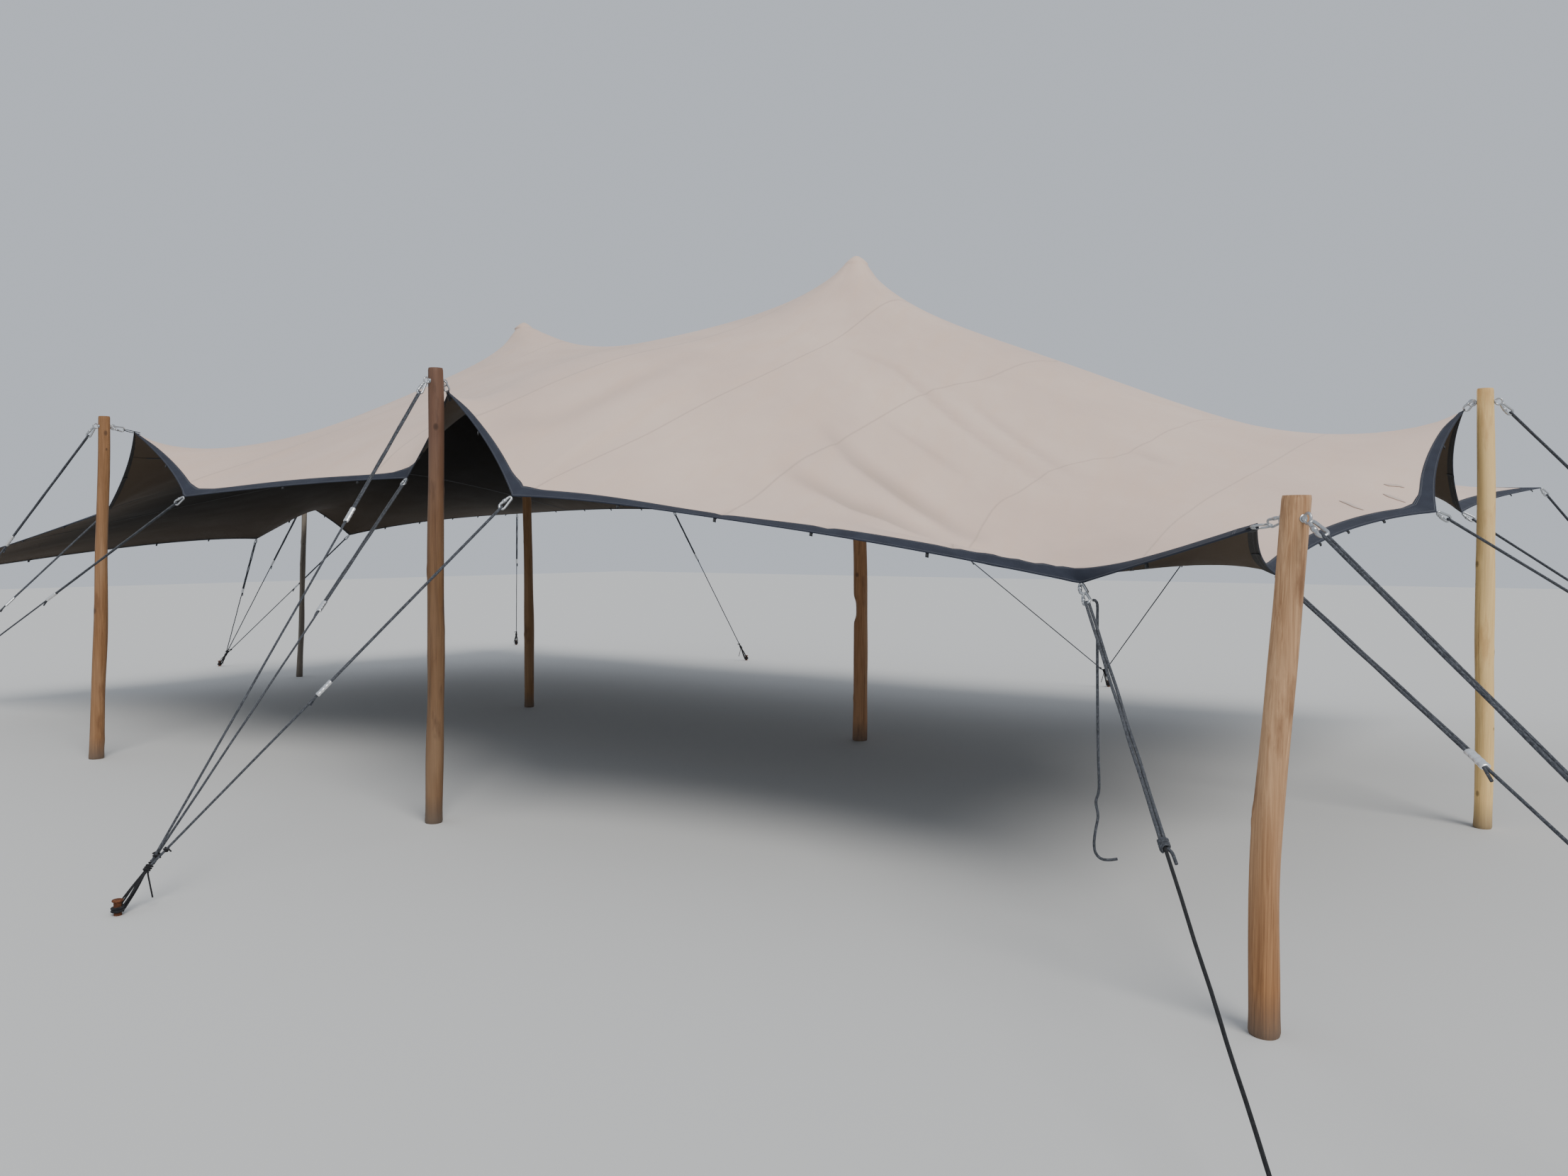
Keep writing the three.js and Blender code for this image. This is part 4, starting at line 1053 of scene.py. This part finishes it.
# small webbing loops sewn under the band about every half metre
LOOP_GAP = 0.47
loops = Shape()
for side, total in TOTALS.items():
    stops = np.array([t[0] for t in SIDES[side].values()] + [0, total])
    count = int(total / LOOP_GAP)
    places = [(k + 0.5) * total / count + random.uniform(-0.03, 0.03) for k in range(count)]
    if side == "front":
        places = [p for p in places if p < 7.3] + [7.51, 7.99, 8.45, 8.95, 9.98]
    if side == "right":
        places = [p for p in places if p > 2.3] + [0.48, 1.52, 1.80, 2.10]
    for place in places:
        if np.abs(stops - place).min() < 0.17:
            continue
        here, along, inwards, normal = rim_frame(side, place)
        sag = 0.016 + random.uniform(-0.004, 0.003)
        down = unit(-inwards * 0.5 - up * 1.0 + along * random.uniform(-0.2, 0.2))
        path = smooth_path(route(here, (inwards, normal, down), [
            (0.034, -0.0060, 0), (0.012, -0.0064, 0), (0, -0.007, 0.004), (0, -0.009, sag * 0.7),
            (0, -0.006, sag), (0, -0.001, sag * 0.7), (0.004, -0.0046, 0), (0.030, -0.0045, 0)]), 0.005)
        ribbon(loops, path, 0.016, 0.0016, along)
rim_loops = loops.piece("rim_loops", strap_look)
sewn.append(rim_loops)


# three short pinched folds of the cloth beside the right rim, in a paler sand that is painted highlight on
# their crests
pinches = Shape()
for places in (((10.429, 2.228), (10.460, 2.210), (10.490, 2.180), (10.520, 2.162)),
               ((10.489, 2.462), (10.503, 2.455), (10.524, 2.447), (10.544, 2.437)),
               ((10.479, 2.567), (10.494, 2.570), (10.514, 2.584), (10.529, 2.582))):
    path = smooth_path([on_cloth(u, v, 0.0040) for u, v in places], 0.006)
    out = unit(on_cloth(*places[1], 0.01) - on_cloth(*places[1], 0.0))
    swell = np.interp(np.linspace(0, 1, len(path)), (0, 0.3, 0.7, 1), (0.0008, 0.0046, 0.0042, 0.0008))
    pinches.tube(path, swell, 12, hint=out, flat=2.6)
pinched = pinches.piece("rim_pinches", pinch_highlight_look)
sewn.append(pinched)


# Timber poles

TIMBER = dict(
    pale=((0.33, 0.170, 0.075), (0.20, 0.095, 0.037), (0.14, 0.060, 0.024)),
    brown=((0.200, 0.102, 0.042), (0.108, 0.050, 0.020), (0.070, 0.032, 0.015)),
    honey=((0.66, 0.39, 0.205), (0.29, 0.145, 0.065), (0.18, 0.085, 0.038)),
    yellow=((0.93, 0.65, 0.275), (0.76, 0.485, 0.19), (0.58, 0.34, 0.13)),
    orange=((0.56, 0.285, 0.130), (0.315, 0.145, 0.062), (0.19, 0.085, 0.04)),
    dark=((0.34, 0.180, 0.072), (0.190, 0.094, 0.037), (0.12, 0.058, 0.024)),
    grey=((0.26, 0.225, 0.185), (0.16, 0.135, 0.11), (0.10, 0.08, 0.065)))
WHITE = (1, 1, 1)
TINTS = dict(honey=((0.05, (0.62, 0.50, 0.37)), (0.55, WHITE)),
             brown=((0.55, WHITE), (0.85, (0.72, 0.64, 0.78))))

POLE_SIDES, POLE_STEP, BUMPS, CRACKS, KNOTS_A_METRE = 52, 0.012, 9, 5, 2.6


def add_pole(name):
    """Round timber with a natural bow, bumps, knots and long drying cracks."""
    _, height, _, _, radii, timber = POLES[name]
    f = np.linspace(0, 1, int(height / POLE_STEP) + 1)
    z = f * height
    angle = np.linspace(0, TURN, POLE_SIDES, endpoint=False)
    radius = np.interp(f, (0, 0.5, 1), radii)
    radius = np.convolve(np.pad(radius, 12, mode='edge'), np.ones(25) / 25, 'valid')
    t, a = np.meshgrid(z, angle, indexing='ij')
    push = np.zeros_like(t)
    for _ in range(BUMPS):
        wave = random.uniform(0.5, 6)
        turn = random.integers(0, 4)
        push += 0.0012 / (1 + 0.25 * wave) * np.sin(wave * t * 2.1 + random.uniform(0, 6.28) + turn * a)
    knot = np.full_like(t, 3.0)
    for _ in range(int(height * KNOTS_A_METRE)):
        z0, a0 = random.uniform(0.12, height - 0.12), random.uniform(0, TURN)
        size = random.uniform(0.010, 0.021) * radii[0] / 0.05
        off = np.angle(np.exp(1j * (a - a0))) * radii[1]
        gap = np.hypot((t - z0) / 1.35, off) / size
        rise = random.uniform(0.0015, 0.0048)
        push += rise * bell(gap / 1.5) - rise * 0.75 * bell(gap / 0.5)
        knot = np.minimum(knot, gap)
    ranges = ((0, 1), (0.1, height - 0.1), (0.15, 0.6), (0, 6))
    cracks = [tuple(random.uniform(low, high) for low, high in ranges) for _ in range(CRACKS)]
    push += 0.006 * bell(t / 0.05) * random.uniform(0.2, 0.5)
    if name == "centre_main":
        # a flat hollow in one side at waist height
        hollow_ends = np.tanh((t - 0.985) / 0.03) - np.tanh((t - 1.14) / 0.03)
        push -= 0.012 * bell(np.angle(np.exp(1j * (a - 3.76))) / 0.9) * hollow_ends
    chamfer = np.interp(z, (0, 0.004, height - 0.003, height), (0.003, 0, 0, 0.0022))
    r = radius[:, None] + push - chamfer[:, None]
    middle = pole_point(name, f)
    middle[:, :2] += (0.0022 * np.sin(z * 4.3 + radii[0] * 700) * np.sin(np.pi * f))[:, None]
    ring = np.stack([np.cos(a) * r, np.sin(a) * r, np.zeros_like(a)], -1)
    wood = Shape()
    wood.bar(middle[:, None] + ring, z, end_look=1, knot=np.minimum(knot, 1.5))
    light, dark, bark = TIMBER[timber]
    wood_look = timber_look(f"timber_{timber}", light, dark, bark, TINTS.get(timber), height, TURN * radii[1],
                            cracks)
    obj = wood.piece(f"timber_{name}", wood_look, end_grain_look(f"end_grain_{timber}", light, dark))
    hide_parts(f"pole_{name}")


for pole in POLES:
    add_pole(pole)


# Domed caps under the peaks

# The caps' foot and top below the peak, and how far the pole sits inside
CAP_FOOT, CAP_SKIN, FIT = -0.0806, -0.0038, 0.0035
for name, (_, top) in PEAKS.items():
    socket = POLES[name][4][2] + FIT
    seat = POLES[name][1] - top[2]
    dome = [(r * 0.985 - 0.0012, CAP_SKIN - CAP_FALL * (r / CAP_RADIUS) ** CAP_ROUNDNESS)
            for r in np.linspace(0.083, 0.006, 18)]
    hat = Shape()
    hat.lathe(top, up, [(0.0, seat + 0.0004), (socket, seat + 0.0004), (socket, CAP_FOOT), (0.0735, CAP_FOOT),
                        (0.0775, -0.0795), (0.0800, -0.0770), *dome, (0.0, CAP_SKIN)], 48)
    hat.lathe(top, up, [(socket + 0.001, CAP_FOOT), (socket + 0.006, CAP_FOOT - 0.001),
                        (socket + 0.006, -0.094), (socket + 0.001, -0.095)], 48)
    obj = hat.piece(f"domed_cap_{name}", cap_rubber)
    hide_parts(f"pole_cap_{name}")


# Steel fittings

def snap_hook(shape, start, pull, side, length, width, wire):
    """A pear of round wire with a hinged gate; start is its outer end, pull the way it hangs."""
    pull = unit(pull)
    side = unit(side - pull * (side @ pull))
    small, big = width * 0.34 - wire, width / 2 - wire
    narrow = arc(start + pull * (small + wire), pull, side, small, math.pi / 2, 1.5 * math.pi, 11)
    wide = arc(start + pull * (length - big - wire), pull, side, big, -math.pi / 2, math.pi / 2, 13)
    left, right = [a + (b - a) * np.linspace(0.15, 0.85, 4)[:, None]
                   for a, b in ((narrow[-1], wide[0]), (wide[-1], narrow[0]))]
    shape.tube(np.vstack([narrow, left, wide, right]), wire, 10, closed=True)
    hinge, gate = wide[-1], narrow[0] - wide[-1]
    shape.tube([hinge + gate * f for f in (0.08, 0.3, 0.92)], wire * 1.18, 10)
    shape.tube([hinge + gate * f for f in (0.34, 0.36, 0.66, 0.68)],
               wire * np.array([1.2, 1.55, 1.55, 1.2]), 6)
    across = np.cross(pull, side)
    for place in (0.08, 0.92):
        shape.tube([hinge + gate * place + across * wire * f for f in (-1.35, -1.2, 1.2, 1.35)],
                   wire * np.array([0.4, 0.62, 0.62, 0.4]), 8)


def ring(shape, middle, a, b, radius, wire):
    parts = 28
    shape.tube(arc(middle, a, b, radius, 0, TURN * (1 - 1 / parts), parts), wire, 10, closed=True)


def sleeve(shape, start, pull, side):
    """An oval steel sleeve pressed round the doubled rope, with crimped waists and rolled ends."""
    places = np.array([0, 1.5, 4, 12, 19, 22, 25, 32, 41, 44, 47, 56, 63, 66, 69, 76, 84, 86.5, 88]) / 1000
    crimp = [0.96, 0.90, 0.96]
    size = 0.0172 * np.array([0.80, 0.94, 1.0, 1.0, *crimp, 1.0, *crimp, 1.0, *crimp, 1.0, 1.0, 0.94, 0.80])
    shape.tube(start + pull * places[:, None], size, 20, hint=side, flat=0.62)


def threaded(shape, a, b, radius):
    """A bolt shank with its thread."""
    parts = max(4, int(np.linalg.norm(b - a) / 0.0011))
    t = np.linspace(0, 1, parts)
    shape.tube(a + (b - a) * t[:, None], radius * (1 - 0.055 * (np.arange(parts) % 2)), 12)


# The way that faces the open side, for each tie
FACES = dict(front=unit([0.45, -0.9, 0]), right=unit([0.45, -0.9, 0]), back=np.array([0, 1.0, 0]),
             left=np.array([-1.0, 0, 0]))
FACE = {name: FACES[side] for side, ties in SIDES.items() for name in ties}

WASHER = [(0.0054, -0.001), (0.013, -0.001), (0.0135, 0), (0.013, 0.001), (0.0054, 0.001)]
NUT = [(0.00779, -0.00375), (0.0095, -0.00275), (0.0095, 0.00275), (0.00779, 0.00375)]

# eye bolts through the side poles' heads, with the hook, and webbing or a ring, that reach the cloth
for name in SIDE_POLES:
    middle, inward, eye_in, eye_out = bolt(name)
    tie, face = TIES["pole_" + name], FACE["pole_" + name]
    radius = POLES[name][4][2]
    across = np.cross(up, inward)
    corner = name == "front_corner"
    head = Shape()
    for out, eye in ((inward, eye_in), (-inward, eye_out)):
        plate = middle + out * (radius + 0.0012)
        head.lathe(plate, inward, WASHER, 24)
        head.lathe(plate + out * 0.0048, inward, NUT, 6)
        threaded(head, middle + out * (radius * 0.5), eye - out * EYE, 0.0055)
        ring(head, eye, out, up, EYE, 0.0048)
    to_tie = unit(tie - eye_in)
    start = eye_in - to_tie * 0.014
    hook = min(0.100, np.linalg.norm(tie - eye_in) + 0.010)
    wide, wire = (0.036, 0.0042) if corner else (0.042, 0.0054)
    snap_hook(head, start, to_tie, np.cross(to_tie, face), hook, wide, wire)
    if corner:
        ring(head, tie - to_tie * 0.020, to_tie, across, 0.0325, 0.0042)
    steel_piece = head.piece(f"pole_head_{name}_steel", steel)
    # the webbing runs from the hook or ring on to the cloth, above and below it
    strop = Shape()
    end = start + to_tie * (hook - 0.010)
    if corner:
        end = tie + to_tie * 0.010
    reach = tie + to_tie * (0.060 if corner else 0.042)
    for s in (-1, 1):
        points = [end, end + up * s * 0.004 + to_tie * 0.008, (end + reach) / 2 + up * s * 0.0062,
                  reach + up * s * 0.0052]
        ribbon(strop, smooth_path(points, 0.008), 0.024, 0.002, across)
    strap = strop.piece(f"pole_head_{name}_strop", strap_look)
    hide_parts(f"pole_head_{name}")
    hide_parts(f"pole_head_{name}")
    sewn.append(strap)


# Ropes and anchors

KNOT_REACH, STROP_HEIGHT, STAKE = 0.20, 0.026, 0.016
# Length, width and wire of a guy's hook, and of the second one that the front right guy has
HOOK, SECOND_HOOK = (0.090, 0.042, 0.0064), (0.088, 0.044, 0.0056)


def anchor_places(name):
    place, ropes = ANCHORS[name]
    foot = np.array([place[0], place[1], STROP_HEIGHT])
    middle = np.mean([TIES[tie] for tie in ropes], axis=0)
    return foot, foot + unit(middle - foot) * KNOT_REACH


def wandering(a, b, side, amount, parts, phase):
    """A near straight run between two points, with a slight waver."""
    t = np.linspace(0, 1, parts)[:, None]
    return a + (b - a) * t + side * amount * np.sin(np.pi * t) * np.sin(t * 21 + phase)


def wraps(shape, middle, axis, radius, rope, turns, look=0, lean=0.25):
    """Turns of rope round an axis."""
    axis = unit(axis)
    a = unit(np.cross(axis, up) if abs(axis @ up) < 0.9 else np.cross(axis, [1.0, 0, 0]))
    t = np.linspace(0, turns * TURN, int(turns * 16) + 1)[:, None]
    path = (middle + (np.cos(t) * a + np.sin(t) * np.cross(axis, a)) * radius
            + axis * ((t / TURN - turns / 2) * rope * 2.05 + lean * rope * np.sin(t)))
    shape.tube(path, rope, 8, look=look)


def guy(ropes, fittings, sleeves, place, tie, knot, share):
    """One guy: a hook at the cloth or bolt, doubled rope to its pressed sleeve, and one rope to the knot."""
    pole = tie.startswith("pole_")
    start = bolt(tie[5:])[3] if pole else TIES[tie]
    pull = unit(knot - start)
    start = start + pull * (EYE - 0.004 if pole else 0.0035)
    face = FACE[tie]
    side = unit(face - pull * (face @ pull)) if place == "right" else unit(np.cross(up, pull))
    total = np.linalg.norm(knot - start)
    tilt = unit(np.cross(pull, face) + face * random.uniform(-0.25, 0.25))
    snap_hook(fittings, start, pull, tilt, *HOOK)
    hang = start + pull * 0.080
    gap = ROPE * 1.12
    phase = random.uniform(0, 6)

    def leg(s, parts, shift):
        return wandering(hang + side * gap * s, low + side * gap * s * 0.9, side, 0.0012, parts,
                         phase + shift)

    if share > 0:
        low = start + pull * total * share
        strand, other = leg(1, 24, 0), leg(-1, 24, 2)
        bight = arc(hang, -pull, side, gap, math.pi / 2, -math.pi / 2, 9)
        ropes.tube(np.vstack([strand[::-1][:-1], bight, other[1:]]), ROPE, 9)
        sleeve(sleeves, low - pull * 0.006, pull, side)
        ropes.tube(wandering(low + pull * 0.07, knot, side, 0.001, 12, phase), ROPE * 0.92, 9)
        tag = low + pull * 0.075
        loose_end = [(0, -0.004, 0), (0.02, -0.009, -0.003), (0.05, -0.010, -0.016)]
    else:
        second = start + pull * 0.079
        snap_hook(fittings, second, pull, unit(tilt * 0.75 + np.cross(pull, tilt) * 0.65), *SECOND_HOOK)
        hang = second + pull * 0.078
        low = start + pull * total * 0.56
        for s in (-1, 1):
            ropes.tube(leg(s, 40, s), ROPE, 12)
        ropes.tube(arc(hang, -pull, side, gap, math.pi / 2, -math.pi / 2, 9), ROPE, 12)
        wraps(ropes, low + pull * 0.012, pull, ROPE * 2.1, ROPE * 0.95, 3.2)
        ropes.tube(wandering(low - pull * 0.02, knot, side, 0.001, 16, phase), ROPE * 0.94, 10, look=1)
        tag = low + pull * 0.03
        loose_end = [(0, 0.006, 0), (0.02, 0.016, 0), (0.05, 0.022, -0.012)]
    ropes.strand(route(tag, (pull, side, up), loose_end), ROPE * 0.9)


# Spreads of the strands that go round a stake, and the turned form of its hammered head
STRANDS = (-1.0, -0.62, -0.15, 0.3, 0.72, 1.0)
STAKE_FORM = [(STAKE, 0), (STAKE, 0.006), (STAKE * 0.985, 0.02), (STAKE, 0.034), (STAKE * 0.99, 0.056),
              (0.0195, 0.0585), (0.0225, 0.0605), (0.0232, 0.0640), (0.0222, 0.0672), (0.0185, 0.0692),
              (0.010, 0.0700), (0.0, 0.0697)]

for name, (place, ties) in ANCHORS.items():
    foot, knot = anchor_places(name)
    ropes, fittings, sleeves = Shape(), Shape(), Shape()
    for tie, share in ties.items():
        guy(ropes, fittings, sleeves, name, tie, knot, share)
    line = unit(knot - foot)
    side, ahead = unit(np.cross(line, up)), level(line)
    # the knot: turns round the ropes, and a second hitch above them
    wraps(ropes, knot, line, ROPE * 1.9, ROPE * 0.8, 3.3, look=1)
    wraps(ropes, knot + line * 0.030, line, ROPE * 1.5, ROPE * 0.8, 1.6, look=1, lean=1.4)
    for k, tie in enumerate(ties):
        way = unit(TIES[tie] - knot)
        tip = knot + way * (0.060 + 0.022 * k)
        turn = 1 - 2 * (k % 2)
        wraps(ropes, tip, way, ROPE * 1.45, ROPE * 0.7, 1.7, look=1, lean=0.8)
        ropes.strand(route(tip, (side * turn, up), [(0, 0), (0.016, 0.004), (0.034, -0.004)]), ROPE * 0.6,
                     look=1)
    loop_radius = STAKE + ROPE + 0.0004
    for k, spread in enumerate(STRANDS):
        out = side * spread
        beside = (out + ahead * math.sqrt(1 - spread ** 2)) * loop_radius
        root = foot + beside + up * (0.010 * (k % 2) - 0.004)
        bend = root + (knot - root) * 0.5 + out * 0.010 + up * 0.004 * (k % 3 - 1)
        ropes.strand([root, root + line * 0.02, bend, knot - line * 0.02 + out * 0.007, knot + out * 0.006],
                     ROPE * 0.62, look=1, step=0.012)
    wraps(ropes, foot + up * 0.001, up, loop_radius, ROPE * 0.98, 2.15, look=1, lean=0.1)
    loose_end = [(0, 0.006, 0), (-0.01, 0.010, -0.010), (-0.01, 0.022, -0.055), (-0.01, 0.040, -0.115)]
    ropes.strand(route(knot, (line, side, up), loose_end), ROPE * 0.62, look=1)
    guys = ropes.piece(f"ropes_{name}", rope_grey, rope_black)
    hooks = fittings.piece(f"snap_hooks_{name}", steel)
    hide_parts(f"guy_ropes_{name}")
    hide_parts(f"guy_ropes_{name}")
    if sleeves.count:
        pressed = sleeves.piece(f"rope_sleeves_{name}", bright)
        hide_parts(f"guy_ropes_{name}")
    # stake: a forged round bar with a hammered head, rough from driving
    stake = Shape()
    stake.lathe((*place, 0.0), up, STAKE_FORM, 28)
    obj = stake.piece(f"stake_{name}", rust)
    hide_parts(f"anchor_{name}")


# Loose rope tail beside the second hook of the front right guy: millimetres sideways and up from its exit
TAIL_ROUTE = [(0, 0), (5, 0), (10, -1), (17, -9), (20, -30), (20, -80), (21, -200), (23, -350), (26, -507),
              (30, -650), (34, -771), (22, -826), (31, -884), (22, -940), (16, -995), (22, -1035),
              (44, -1060), (76, -1066), (112, -1062)]
foot, knot = anchor_places("front_right")
tail_pull = unit(knot - TIES["low_4"])
tail_side = level((0.815, 0.58, 0))
tail_exit = TIES["low_4"] + tail_pull * 1.5 * 0.092 + tail_side * 0.0254
tail_path = smooth_path(route(tail_exit, (tail_side / 1000, up / 1000), TAIL_ROUTE), 0.012)
tail_data = bpy.data.curves.new("loose_tail", 'CURVE')
tail_data.dimensions = '3D'
spline = tail_data.splines.new('POLY')
spline.points.add(len(tail_path) - 1)
spline.points.foreach_set("co", np.c_[tail_path, np.ones(len(tail_path))].ravel())
spline.use_smooth = True
tail_data.bevel_depth = ROPE
tail_data.bevel_resolution = 4
tail_data.use_fill_caps = True
tail_data.materials.append(rope_look("rope_tail", *CHARCOAL))
tail = add_object("loose_tail", tail_data)
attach(tail, "root")
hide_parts("loose_rope_tail")
tail_length = float(lengths(tail_path)[-1])


# Floor and light

floor_look = Look("floor", Roughness=0.9, Base_Color=(0.62, 0.62, 0.61, 1))
FLOOR = 40.0
floor_mesh = bpy.data.meshes.new("floor")
floor_mesh.from_pydata([(x * FLOOR, y * FLOOR, 0) for x, y in ((-1, -1), (1, -1), (1, 1), (-1, 1))], [],
                       [(0, 1, 2, 3)])
floor_mesh.materials.append(floor_look.material)
floor = add_object("floor", floor_mesh)

world = bpy.data.worlds.new("sky")
bpy.context.scene.world = world
world.use_nodes = True
background = world.node_tree.nodes["Background"]
background.inputs["Color"].default_value = (0.80, 0.86, 0.95, 1)
background.inputs["Strength"].default_value = 0.70
sun_data = bpy.data.lights.new("sun", 'SUN')
sun_data.energy = 2.3
sun_data.angle = math.radians(30)
sun_data.color = (1.0, 0.97, 0.92)
sun = add_object("sun", sun_data)
sun.rotation_euler = (math.radians(43.9), 0, math.radians(59.7))
